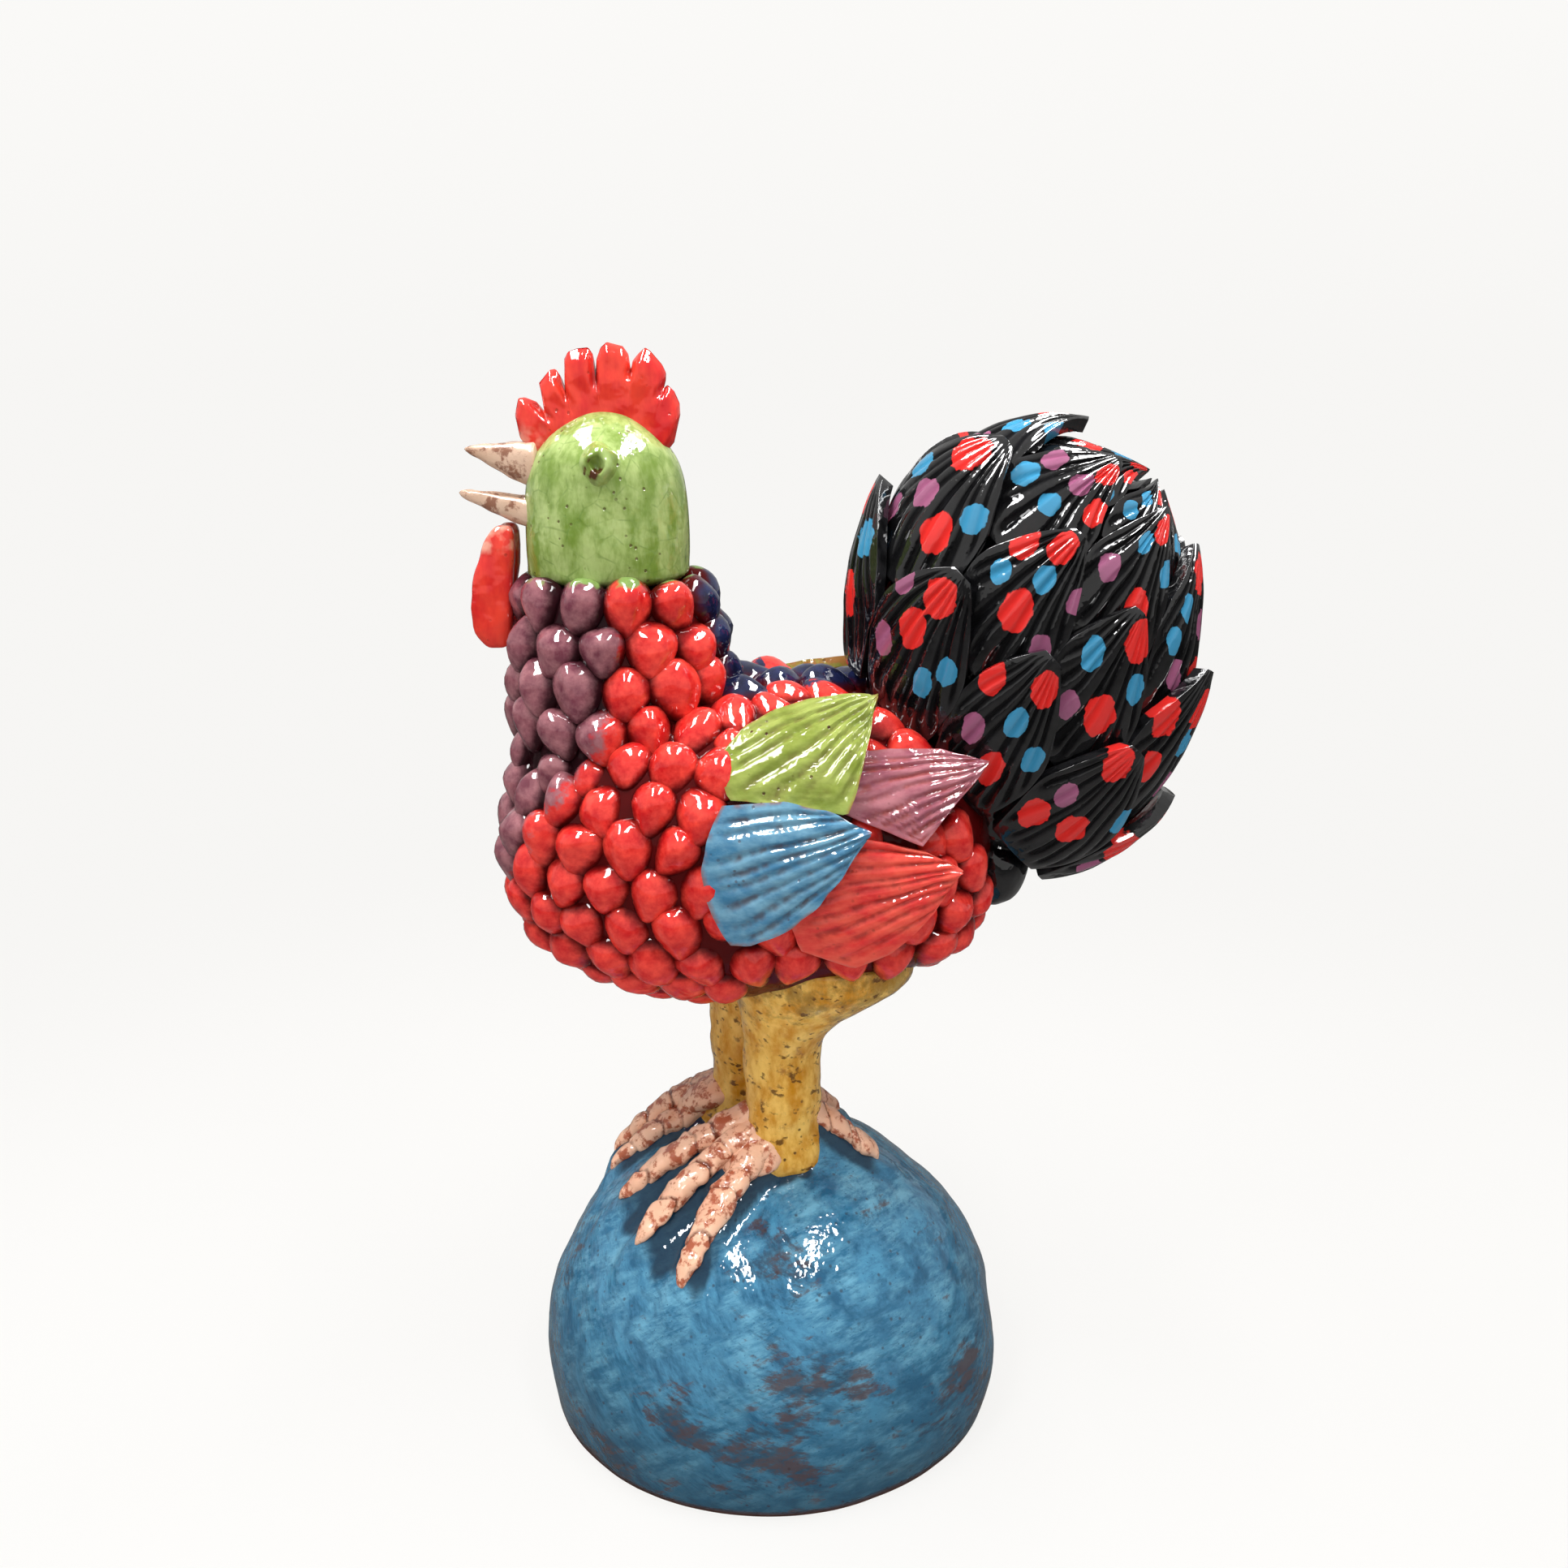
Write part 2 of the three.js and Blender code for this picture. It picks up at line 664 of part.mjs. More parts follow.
function pellet_spots() {
  const spots = [];
  let tried = 0;
  const add = (at, apart) => {
    tried += 1;
    if (in_tail(at, 5) || under_wing(at) || near_leg(at)) return;
    if (spots.some((s) => s.at.distanceTo(at) < pellet_pitch * apart)) return;
    const out = skin_normal(at);
    const back = smooth((at.x - torso_x + sweep_ahead) / sweep_run) * smooth((out.z + 0.2) / 0.9);
    const flow = new THREE.Vector3(back * 1.4 + 0.02, 0, back * 0.4 - 1);
    flow.addScaledVector(out, -flow.dot(out)).normalize();
    const owner = torso_share(at, 0.5) < 1 || !in_neck(at, 0.5) ? "body" : "neck";
    spots.push({ owner, at, out, flow, number: tried });
  };
  // Level courses from the collar down to the belly, set out from a line down each flank and
  // shifted by half a pellet from one to the next
  let z = neck_top - pellet_length * 0.42;
  for (let course = 0; side_reach(z) > pellet_pitch / 2; course += 1) {
    const ring = skin_ring(z);
    const runs = [0];
    for (let i = 1; i <= 360; i += 1) runs.push(runs[i - 1] + ring[i - 1].distanceTo(ring[i % 360]));
    for (const first of [180, 0]) {
      let flank = first;
      for (let i = first; i < first + 180; i += 1) {
        const apart = (k) => Math.abs(ring[k].x - torso_x - pellet_anchor);
        if (apart(i) < apart(flank)) flank = i;
      }
      let goal = runs[flank] + ((course % 2) / 2) * pellet_pitch;
      goal -= pellet_pitch * Math.floor((goal - runs[first]) / pellet_pitch);
      for (; goal < runs[first + 180]; goal += pellet_pitch) {
        add(ring[runs.findIndex((run) => run >= goal) % 360], 0.78);
      }
    }
    // Close the breast and back, where the courses of both flanks meet
    for (let i = 0; i < 360; i += 3) add(ring[i], 0.84);
    let run = 0;
    while (run < course_pitch && z > torso_z - torso_half_height) {
      run += Math.hypot(0.2, side_reach(z) - side_reach(z - 0.2));
      z -= 0.2;
    }
  }
  // The flat back and belly, where level courses lie far apart, are filled afterwards
  for (let level = 84; level >= -84; level -= 4) {
    for (let a = 0; a < 360; a += 4) {
      const flat = Math.cos(level * turn);
      const side = flat * Math.sin(a * turn);
      const p = torso_point(flat * Math.cos(a * turn), side, Math.sin(level * turn), 0);
      if (!in_neck(p, 2)) add(p, 0.84);
    }
  }
  return spots;
}

function pellet(spot, grow) {
  const ball = new THREE.SphereGeometry(1, 4, 3);
  const across = spot.flow.clone().cross(spot.out);
  const size = 1 + 0.06 * wobble(spot.number);
  return shaped(ball, (x, y, z) => {
    const taper = 1 + 0.16 * y;
    const p = spot.at.clone();
    p.addScaledVector(spot.flow, -y * ((pellet_length * size) / 2 + grow));
    p.addScaledVector(across, x * taper * ((pellet_width * size) / 2 + grow));
    return p.addScaledVector(spot.out, z * taper * (pellet_rise * size + grow));
  });
}

const spots = pellet_spots();

function covered(core, owner, grow) {
  const all = spots.filter((s) => s.owner === owner).map((s) => pellet(s, grow));
  return wasm.Manifold.union([core, ...all]);
}

// Head, a thimble standing in the collar
function head_outline(grow) {
  const line = [new THREE.Vector2(0, -grow)];
  const knots = [[0, 0.97], [0.15, 1], [0.4, 0.99], [0.62, 0.93], [0.8, 0.74], [0.92, 0.46]];
  const tall = head_height + 2 * grow;
  for (const [t, r] of knots) line.push(new THREE.Vector2(head_radius * r + grow, t * tall - grow));
  line.push(new THREE.Vector2(0, tall - grow));
  return line;
}

function head(grow) {
  const lid = lathe(head_outline(grow), 24);
  return lid.scale([1, head_flatness, 1]).translate([head_x, 0, neck_top + seam]);
}

const crown_z = neck_top + head_height - crown_depth;

// Comb, a slab with teeth cut along an arch over the crown
function comb() {
  const shape = new THREE.Shape();
  const start = 168;
  const end = 14;
  const step = (start - end) / comb_teeth;
  const reach = (a, depth) => [
    head_x - comb_forward + (comb_half_length - depth) * Math.cos(a * turn),
    crown_z + (comb_rise - depth) * Math.sin(a * turn),
  ];
  shape.moveTo(head_x, crown_z);
  for (let k = 0; k <= comb_teeth; k += 1) {
    const a = start - k * step;
    shape.lineTo(...reach(a, comb_bite));
    if (k === comb_teeth) continue;
    shape.lineTo(...reach(a - 0.4 * step, 0));
    shape.lineTo(...reach(a - 0.72 * step, comb_bite * 0.12));
  }
  shape.closePath();
  const slab = new THREE.ExtrudeGeometry(shape, {
    depth: comb_thickness - 1.6,
    bevelEnabled: true,
    bevelThickness: 0.8,
    bevelSize: 0.5,
    bevelSegments: 1,
  });
  slab.translate(0, 0, -(comb_thickness - 1.6) / 2).rotateX(90 * turn);
  return cut(solid(slab), head(seam), beak_half(true, seam, 1));
}

// Beak, two tapering halves with an open mouth
const mouth_z = neck_top + mouth_height;
const beak_root = head_x - head_radius * 0.75;
const beak_tip = head_x - head_radius - beak_length;

function beak_half(upper, grow, share) {
  const tube = new THREE.CylinderGeometry(1, 1, 1, 12, 5);
  const height = upper ? upper_beak_height : lower_beak_height;
  return shaped(tube, (px, py, pz) => {
    const t = py + 0.5;
    const size = share * (1 - 0.85 * t ** 1.3);
    const x = beak_root + t * (beak_tip - beak_root);
    const mid = upper ? mouth_z + mouth_gap / 2 + 6 * t : mouth_z - mouth_gap / 2 - 2 + 4 * t;
    const up = (pz > 0) === upper ? 1 : 0.15;
    return new THREE.Vector3(
      x,
      ((beak_width / 2) * size + grow) * px,
      mid + (height * size * up + grow) * pz,
    );
  });
}

function upper_beak() {
  return cut(beak_half(true, 0, 1), head(seam));
}

function lower_beak(grow) {
  const hollow = beak_half(false, 0, 0.55).translate([-1, 0, lower_beak_height * 0.35]);
  const shape = cut(beak_half(false, grow, 1), head(seam - grow));
  return grow > 0 ? shape : cut(shape, hollow);
}

function wattle(way) {
  const ball = new THREE.SphereGeometry(1, 10, 8);
  const top = mouth_z - mouth_gap / 2 - lower_beak_height * 0.4;
  const front = head_x - head_radius - wattle_width * 0.42;
  const shape = shaped(ball, (x, y, z) => {
    const t = (1 - y) / 2;
    const swell = 0.8 + 0.35 * t;
    return new THREE.Vector3(
      front + (wattle_width / 2) * swell * x - 1.5 * t,
      way * (wattle_thickness * 0.62 + 0.8 * t) + (wattle_thickness / 2) * z,
      top - t * wattle_length,
    );
  });
  return cut(shape, head(seam), lower_beak(seam), neck_cover);
}

function eye(way) {
  const line = [[0, -4], [1, -4], [1, 0], [0.95, 0.4], [0.75, 0.8], [0.5, 1], [0.3, 0.95], [0, 0.6]];
  const knots = line.map(([r, z]) => new THREE.Vector2(r * eye_radius, z < 0 ? z : z * eye_rise));
  const z = neck_top + head_height * 0.7;
  const out = head_radius * head_flatness * 0.84;
  const cone = lathe(knots, 10).rotate([way * -72, 0, 0]).translate([head_x, way * out, z]);
  return cut(cone, head(seam));
}

// Pieces that trim others
const side_way = { left: -1, right: 1 };
const wing_grown = {};
for (const side of ["left", "right"]) {
  wing_grown[side] = wings.map((f) => wing_feather(f, side_way[side], seam));
}
const all_wings = [...wing_grown.left, ...wing_grown.right];
const torso_cover = covered(torso(seam), "body", seam);
const neck_cover = covered(neck_column(seam), "neck", seam);

// Assembly
piece("base_dome", dome_base(), "blue");
const dome_skin = dome_filled(seam);
const leg_skin = { left: leg("left", seam), right: leg("right", seam) };
const both_legs = Object.values(leg_skin);
piece("left_leg", cut(leg("left", 0), dome_skin, torso_cover), "ochre");
piece("right_leg", cut(leg("right", 0), dome_skin, torso_cover, leg_skin.left), "ochre");
const left_foot_skin = foot("left", seam);
piece("left_foot", cut(foot("left", 0), dome_skin, ...both_legs), "bisque");
piece("right_foot", cut(foot("right", 0), dome_skin, ...both_legs, left_foot_skin), "bisque");
for (const side of ["left", "right"]) {
  piece(`${side}_back_toe`, cut(back_toe(side, 0), dome_skin, ...both_legs), "bisque");
}
piece("body", cut(covered(torso(0), "body", 0), ...all_wings), "red", 0.25);
piece("neck", cut(covered(neck_column(0), "neck", 0), torso_cover, ...all_wings), "red", 0.25);
piece("head", cut(head(0), neck_cover), "green");
piece("comb", comb(), "red");
piece("upper_beak", upper_beak(), "cream");
piece("lower_beak", lower_beak(0), "cream");
for (const side of ["left", "right"]) {
  piece(`${side}_wattle`, wattle(side_way[side]), "red");
  piece(`${side}_eye`, eye(side_way[side]), "green");
  wings.forEach((f, i) => {
    const before = wing_grown[side].slice(0, i);
    piece(`${side}_wing_${f.name}`, cut(wing_feather(f, side_way[side], 0), ...before), f.kind);
  });
}
piece("tail_core", cut(tail_core(), torso_cover, neck_cover), "black", 0.15);
leaf_counts.forEach((count, row) => {
  const ring = even_angles(count, (row % 2) / 2, tail_depth, tail_half_width);
  ring.forEach((spot, k) => {
    const leaf = cut(tail_leaf(row, spot, 0), torso_cover, ...all_wings);
    piece(`tail_feather_${row + 1}_${k + 1}`, leaf, "black", 0.1);
  });
});

// Origin on the ground below the middle of the whole figure
const whole = new THREE.Box3();
for (const { shape } of pieces) {
  const { min, max } = shape.boundingBox();
  whole.expandByPoint(new THREE.Vector3(...min)).expandByPoint(new THREE.Vector3(...max));
}
const middle = whole.getCenter(new THREE.Vector3());

const group = new THREE.Group();
group.name = "rooster_on_dome";
for (const { name, shape, kind, ease } of pieces) {
  const placed = shape.translate([-middle.x, -middle.y, -whole.min.z]);
  const geometry = surface(thinned(placed, ease));
  geometry.computeVertexNormals();
  const [color, roughness] = glaze[kind];
  const material = new THREE.MeshStandardMaterial({ color, roughness, metalness: 0 });
  const mesh = new THREE.Mesh(geometry, material);
  mesh.name = name;
  group.add(mesh);
}

export default group;
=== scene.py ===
# %% [markdown]
# # A glazed clay rooster on a dome
# The object is a hand-built clay rooster, about 26 cm tall, that stands on a hollow blue dome.
# The maker rolled, pressed and scored separate bits of clay, joined them wet, brushed on
# coloured glazes and fired the lot, so nothing moves and everything rides on one body.
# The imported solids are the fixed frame. Every piece below is drawn in millimetres in the bird's
# own frame, then moved into the frame of the solids and scaled to metres.

# %% Load the frame
import math
import random
from functools import partial
from math import cos, exp, hypot, pi, radians, sin, sqrt

import bmesh
import bpy
from mathutils import Matrix, Vector, noise


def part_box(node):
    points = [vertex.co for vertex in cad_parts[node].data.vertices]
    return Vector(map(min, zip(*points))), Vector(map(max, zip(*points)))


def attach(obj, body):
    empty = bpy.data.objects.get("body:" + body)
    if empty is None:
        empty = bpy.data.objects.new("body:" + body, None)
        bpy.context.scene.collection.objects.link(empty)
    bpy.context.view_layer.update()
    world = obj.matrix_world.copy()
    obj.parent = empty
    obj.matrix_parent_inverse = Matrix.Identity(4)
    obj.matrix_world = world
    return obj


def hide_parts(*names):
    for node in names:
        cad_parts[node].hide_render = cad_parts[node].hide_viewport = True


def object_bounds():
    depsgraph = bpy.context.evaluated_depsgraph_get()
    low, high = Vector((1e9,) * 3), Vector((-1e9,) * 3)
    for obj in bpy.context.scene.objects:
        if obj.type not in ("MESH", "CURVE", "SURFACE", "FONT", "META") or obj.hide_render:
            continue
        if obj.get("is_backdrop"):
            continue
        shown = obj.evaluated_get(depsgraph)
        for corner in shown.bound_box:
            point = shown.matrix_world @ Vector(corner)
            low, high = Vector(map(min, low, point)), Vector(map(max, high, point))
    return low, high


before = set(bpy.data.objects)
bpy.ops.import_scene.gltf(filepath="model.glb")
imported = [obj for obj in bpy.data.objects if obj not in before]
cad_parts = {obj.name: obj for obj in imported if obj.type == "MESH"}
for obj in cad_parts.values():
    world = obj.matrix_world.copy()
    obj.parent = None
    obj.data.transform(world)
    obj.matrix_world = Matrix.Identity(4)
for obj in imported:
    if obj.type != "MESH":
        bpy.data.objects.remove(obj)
cad_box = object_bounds()
mm = 0.001
print("solids:", len(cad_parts), "box:", [list(corner) for corner in cad_box])

# %% [markdown]
# ## The bird's own frame
# The bird's middle plane is Y = 0 and the axis of the dome is X = 0, so left and right pieces
# mirror each other and heights read straight off. Both planes are read from the solids:
# the dome's box gives its axis, and the head's box gives the middle plane of the bird.

# %% Places read from the solids
def box_mm(node):
    low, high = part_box(node)
    return low / mm, high / mm


dome_low, dome_high = box_mm("base_dome")
head_low, head_high = box_mm("head")
dome_middle = (dome_low + dome_high) / 2
bird_origin = Vector((dome_middle.x, (head_low.y + head_high.y) / 2, 0))
dome_y = dome_middle.y - bird_origin.y
dome_radius = (dome_high.x - dome_low.x) / 2
dome_height = dome_high.z
print("bird origin", list(bird_origin), "dome", dome_radius, dome_height)

# %% [markdown]
# ## Camera
# The photograph looks at the bird's left side, slightly from above. The lens and the place of
# the camera were found by laying the outline of the solids over the picture.

# %% Camera
eye_offset = Vector((4.4, -340, 0))
eye_height = 253
tilt_down, roll = 15.69, -0.46
camera_data = bpy.data.cameras.new("photo_camera")
camera_data.sensor_width = 36
camera_data.lens = 34.47
camera = bpy.data.objects.new("photo_camera", camera_data)
bpy.context.scene.collection.objects.link(camera)
eye_point = (dome_middle + eye_offset) * mm
eye_point.z = eye_height * mm
look = Matrix.Rotation(radians(90 - tilt_down), 4, "X") @ Matrix.Rotation(radians(roll), 4, "Z")
camera.matrix_world = Matrix.Translation(eye_point) @ look
bpy.context.scene.camera = camera
print("camera at", list(eye_point))

# %% [markdown]
# ## Light
# The highlights are thin bright lines, two on each pellet, and they lie where two long strips
# under the roof of a white tent would mirror. So there are two narrow strip lamps for the light,
# two wider ones just below them that only glossy surfaces mirror, and a soft sun for the general
# light.

# %% Lamps
scene = bpy.context.scene
scene.view_settings.view_transform = "Standard"
tent_height = 0.62
strip_length = 0.5
strip_y = -0.07
for kind, width, energy, drop, unseen in (("strip", 0.065, 3, 0, "visible_glossy"),
                                          ("glint", 0.1, 8, 0.01, "visible_diffuse")):
    for side, across in (("left", -0.2), ("right", 0.19)):
        strip = bpy.data.lights.new(f"{kind}_{side}", "AREA")
        strip.shape = "RECTANGLE"
        strip.size, strip.size_y = width, strip_length
        strip.energy = energy
        lamp = bpy.data.objects.new(strip.name, strip)
        lamp.location = (bird_origin.x * mm + across, strip_y, tent_height - drop)
        setattr(lamp, unseen, False)
        scene.collection.objects.link(lamp)
sun = bpy.data.lights.new("tent_roof", "SUN")
sun.energy = 1.1
sun.angle = radians(70)
roof = bpy.data.objects.new("tent_roof", sun)
roof.rotation_euler = (radians(48), radians(-8), 0)
roof.visible_glossy = False
scene.collection.objects.link(roof)

# %% [markdown]
# ## Colours and nodes
# Colours are written as they look on a screen, and one function turns them to linear light. One
# more adds a node with its settings and links and hands back one of its outputs, so a material
# reads as a short list of steps. Two sets of settings return often: a mix of colours and a soft
# step. Pattern sizes are given in millimetres, while Object coordinates are in metres.

# %% Colours and nodes
colours = dict(out=2, data_type="RGBA")
softly = dict(interpolation_type="SMOOTHSTEP")


def ink(code):
    """An sRGB hex colour as linear light."""
    parts = [int(code[i:i + 2], 16) / 255 for i in (1, 3, 5)]
    return tuple(c / 12.92 if c <= 0.04045 else ((c + 0.055) / 1.055) ** 2.4 for c in parts) + (1,)


def fill(made, inputs):
    """Give a node's inputs their values, or link them to outputs of other nodes."""
    for name, value in inputs.items():
        if isinstance(value, bpy.types.NodeSocket):
            made.id_data.links.new(value, made.inputs[name])
        else:
            made.inputs[name].default_value = value


def add(tree, kind, inputs=None, out=0, **settings):
    """Add one node with its settings and links, and return one of its outputs."""
    made = tree.nodes.new("ShaderNode" + kind)
    for name, value in settings.items():
        setattr(made, name, value)
    fill(made, inputs or {})
    return made.outputs[out]


def opened(stuff):
    """What a material is painted with: a way to add nodes, its shader, its coordinates."""
    stuff.use_nodes = True
    node = partial(add, stuff.node_tree)
    return node, stuff.node_tree.nodes["Principled BSDF"], node("TexCoord", out="Object")


def every(size):
    """Texture scale for features of that size in millimetres, on coordinates in metres."""
    return 1 / (size * mm)


print("ink of middle grey:", ink("#808080"))

# %% [markdown]
# ## World and floor
# The world is the white tent. The camera sees it as a white background, the glazes mirror it
# about half as bright, and it lights the figure softly. The floor is a plain white plane that
# keeps the shadow, and further out the camera sees it fade into the white of the world.

# %% World
horizon_level, zenith_level = 0.945, 0.98
lighting_level, mirrored_level = 0.28, 0.56
tent_white = ink("#fdfcfa")
world = bpy.data.worlds.new("white_tent")
world.use_nodes = True
node = partial(add, world.node_tree)
seen = node("LightPath", out="Is Camera Ray")
mirrored = seen.node.outputs["Is Glossy Ray"]
dim = node("MapRange", {0: mirrored, 3: lighting_level, 4: mirrored_level})
up = node("SeparateXYZ", {0: node("TexCoord", out="Generated")}, out="Z")
back = node("MapRange", {0: up, 1: 0, 2: 0.22, 3: horizon_level, 4: zenith_level})
level = node("Mix", {0: seen, 2: dim, 3: back})
fill(world.node_tree.nodes["Background"], {"Color": tent_white, "Strength": level})
scene.world = world
print("world:", world.name)

# %% Floor
bm = bmesh.new()
bmesh.ops.create_circle(bm, cap_ends=True, segments=96, radius=6)
floor_mesh = bpy.data.meshes.new("floor")
bm.to_mesh(floor_mesh)
bm.free()
floor = bpy.data.objects.new("floor", floor_mesh)
scene.collection.objects.link(floor)
floor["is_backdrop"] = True
paper = bpy.data.materials.new("white paper")
node, sheet, place = opened(paper)
seen = node("LightPath", out="Is Camera Ray")
mirrored = seen.node.outputs["Is Glossy Ray"]
tone = node("Mix", {0: mirrored, 6: ink("#cccac8"), 7: ink("#6e6d6c")}, **colours)
tone = node("Mix", {0: seen, 6: tone, 7: ink("#f8f7f5")}, **colours)
fill(sheet, {"Base Color": tone, "Roughness": 0.9, "Specular IOR Level": 0})
away = node("VectorMath", {0: place}, out="Value", operation="LENGTH")
plain = node("MapRange", {0: away, 1: 0.15, 2: 0.6, 3: 0.88, 4: 1}, **softly)
share = node("Math", {0: seen, 1: plain}, operation="MULTIPLY")
white = node("Emission", {"Color": tent_white, "Strength": horizon_level})
both = node("MixShader", {0: share, 1: sheet.outputs[0], 2: white})
fill(paper.node_tree.nodes["Material Output"], {"Surface": both})
floor_mesh.materials.append(paper)
print("floor faces:", len(floor_mesh.polygons))

# %% [markdown]
# ## Helpers for shaping clay
# Most pieces start as a ball or a grid and are pressed into shape, as a potter does. One helper
# moves every point with a rule, one turns a ball's point into a place along and around a roll,
# one makes a point attribute for a material to read, and one finishes a piece: it moves it from
# the bird's frame to the solids' frame and rides it.

# %% Shaping helpers
def soft_step(low, high, x):
    t = min(1, max(0, (x - low) / (high - low)))
    return t * t * (3 - 2 * t)


def heading(turn):
    return Vector((cos(turn), sin(turn)))


def shaped(verts, rule):
    for v in verts:
        v.co = rule(v.co)


def ball(bm, around, along):
    """Add a unit ball with its poles on Z, and return its points."""
    return bmesh.ops.create_uvsphere(bm, u_segments=around, v_segments=along, radius=1)["verts"]


def pressed_ball(around, along, rule):
    bm = bmesh.new()
    shaped(ball(bm, around, along), rule)
    return bm


def roll_place(co):
    """Share of the way from pole to pole, and the turn around, of a point on a unit ball."""
    return math.acos(max(-1, min(1, co.z))) / pi, math.atan2(co.y, co.x)


def lumps(co, size, seed=0):
    """Smooth uneven swelling, from about -1 to 1, with lumps of that size in millimetres."""
    return noise.noise(co / size + Vector((seed * 7.1, seed * 3.7, seed * 5.3)))


def dented(co, *dents):
    """What fingers pressed out or in, from dents of a depth, a size and a seed each."""
    return sum(depth * lumps(co, size, seed) for depth, size, seed in dents)


def mark(bm, name):
    return bm.verts.layers.float.get(name) or bm.verts.layers.float.new(name)


def finished(bm, name, stuff, slot, *nodes):
    bmesh.ops.recalc_face_normals(bm, faces=bm.faces)
    bmesh.ops.translate(bm, verts=bm.verts, vec=bird_origin)
    bmesh.ops.scale(bm, verts=bm.verts, vec=Vector((mm, mm, mm)))
    mesh = bpy.data.meshes.new(name)
    bm.to_mesh(mesh)
    bm.free()
    mesh.shade_smooth()
    mesh.materials.append(stuff)
    piece = bpy.data.objects.new(name, mesh)
    scene.collection.objects.link(piece)
    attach(piece, "root")
    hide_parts(*nodes)
    print(name, len(mesh.polygons), "faces, for", ", ".join(nodes))
    return piece


# %% [markdown]
# ## Glaze over clay
# A brushed earthenware glaze is a thin layer of coloured glass over red clay. It is glossy, lies
# thin and streaky on high spots, gathers dark in hollows, and has pits where gas escaped in the
# firing. One function makes all the plain glazes: a streak noise moves between the thick and the
# thin colour, point attributes say where a line was scored and where the slab's rim is, and cell
# noises place pits and fine cracks. It is a glass of IOR 1.56 with a low roughness.

# %% Glaze material
def glaze(name, thick, thin, pit="#4a2a1c", line=None, rim="#9a5236", streak=(6, 6, 14), pits=0.5,
          rough=0.07, relief=0.5, cracks=0, shine=0.5):
    stuff = bpy.data.materials.new(name)
    node, shader, place = opened(stuff)
    drawn = node("Mapping", {"Vector": place, "Scale": [every(s) for s in streak]})
    brush = node("TexNoise", {"Vector": drawn, "Scale": 1, "Detail": 4, "Roughness": 0.6})
    brush = node("MapRange", {0: brush, 1: 0.3, 2: 0.7}, **softly)
    coat = node("Mix", {0: brush, 6: ink(thick), 7: ink(thin)}, **colours)
    # Pits about 0.7 mm wide, in swarms
    cells = node("TexVoronoi", {"Vector": place, "Scale": every(2.4)})
    hole = node("MapRange", {0: cells, 1: 0.1, 2: 0.2, 3: 1, 4: 0}, **softly)
    swarm = node("TexNoise", {"Vector": place, "Scale": every(7), "Detail": 2})
    swarm = node("MapRange", {0: swarm, 1: 0.5, 2: 0.58, 4: pits})
    pitted = node("Math", {0: hole, 1: swarm}, operation="MULTIPLY")
    # Fine cracks between plates of 5 mm
    plates = node("TexVoronoi", {"Vector": place, "Scale": every(5)}, feature="DISTANCE_TO_EDGE")
    crack = node("MapRange", {0: plates, 1: 0.01, 2: 0.05, 3: cracks, 4: 0})
    # In patches, glaze gathers in scored lines and cracks, and the brush missed the rim
    scored, bare = [node("Attribute", out="Fac", attribute_name=n) for n in ("line", "rim")]
    patchy = node("TexNoise", {"Vector": place, "Scale": every(3), "Detail": 2})
    patchy = node("MapRange", {0: patchy, 1: 0.4, 2: 0.6, 4: 0.85})
    scored, bare, crack = [node("Math", {0: field, 1: patchy}, operation="MULTIPLY")
                           for field in (scored, bare, crack)]
    gathered = line or pit
    for share, code in (scored, gathered), (bare, rim), (pitted, pit), (crack, gathered):
        coat = node("Mix", {0: share, 6: coat, 7: ink(code)}, **colours)
    # Small ripples break the highlights
    ripple = node("TexNoise", {"Vector": place, "Scale": every(2), "Detail": 1.2})
    ripple = node("Math", {0: ripple, 1: pitted}, operation="SUBTRACT")
    bump = node("Bump", {"Height": ripple, "Strength": relief, "Distance": 0.4 * mm})
    fill(shader, {"Base Color": coat, "Normal": bump, "Roughness": rough, "IOR": 1.56,
                  "Specular IOR Level": shine})
    return stuff


red_glaze = glaze("red brushed glaze", "#c81f22", "#e2402f", line="#8c1718", rim="#e3a58f",
                  pits=0.35)
green_glaze = glaze("leaf green brushed glaze", "#6f8a36", "#a9bb75", line="#5d7a34",
                    streak=(4, 4, 9), pits=0.7, cracks=0.5)
print("glazes:", red_glaze.name, "and", green_glaze.name)

# %% [markdown]
# ## The dome
# The dome is a pinched bowl turned upside down: a wall about 8 mm thick with an open foot. Its
# outline is one line of points, so a spin makes the shell in one step. The potter's fingers left
# wide dents, and each toe was set on a ridge of clay that runs past its tip, so the points are
# then pressed out or in along the wall.

# %% Toe places
dome_shoulder = 12
leg_places = {"left": Vector((3.5, -10.5)), "right": Vector((-5.5, 10.5))}
foot_ways = {"left": radians(210.5), "right": radians(172)}
toe_spread = {"left": radians(23.5), "right": radians(16)}
toe_reach = {"left": 41, "right": 36.5}
foot_lift = {"left": 0, "right": 3.5}
ridge_past_tip = {"left": 5, "right": 1.5}
ridge_start = 6
ridge_end = 3
ridge_rise = 2.2
toe_root_rise = {"left": 6, "right": 4.5}
back_toe = (radians(5), 24, 13, 0)


def dome_height_at(x, y):
    share = min(0.99, hypot(x, y - dome_y) / dome_radius)
    return dome_shoulder + (dome_height - dome_shoulder) * sqrt(1 - share * share)


def toes(side):
    """Direction, length, rise at the root and at the tip of three front toes and a back toe."""
    found = []
    for k in (-1, 0, 1):
        way = foot_ways[side] + k * toe_spread[side]
        tip_rise = foot_lift[side] if k < 1 else 0
        found.append((way, toe_reach[side], toe_root_rise[side] * (1 - 0.4 * k), tip_rise))
    return found + [back_toe]


def toe_slope(t, root_rise, tip_rise):
    """How far a toe stands above the plain dome after a share of its length."""
    return tip_rise + root_rise * (1 - t) ** 1.3


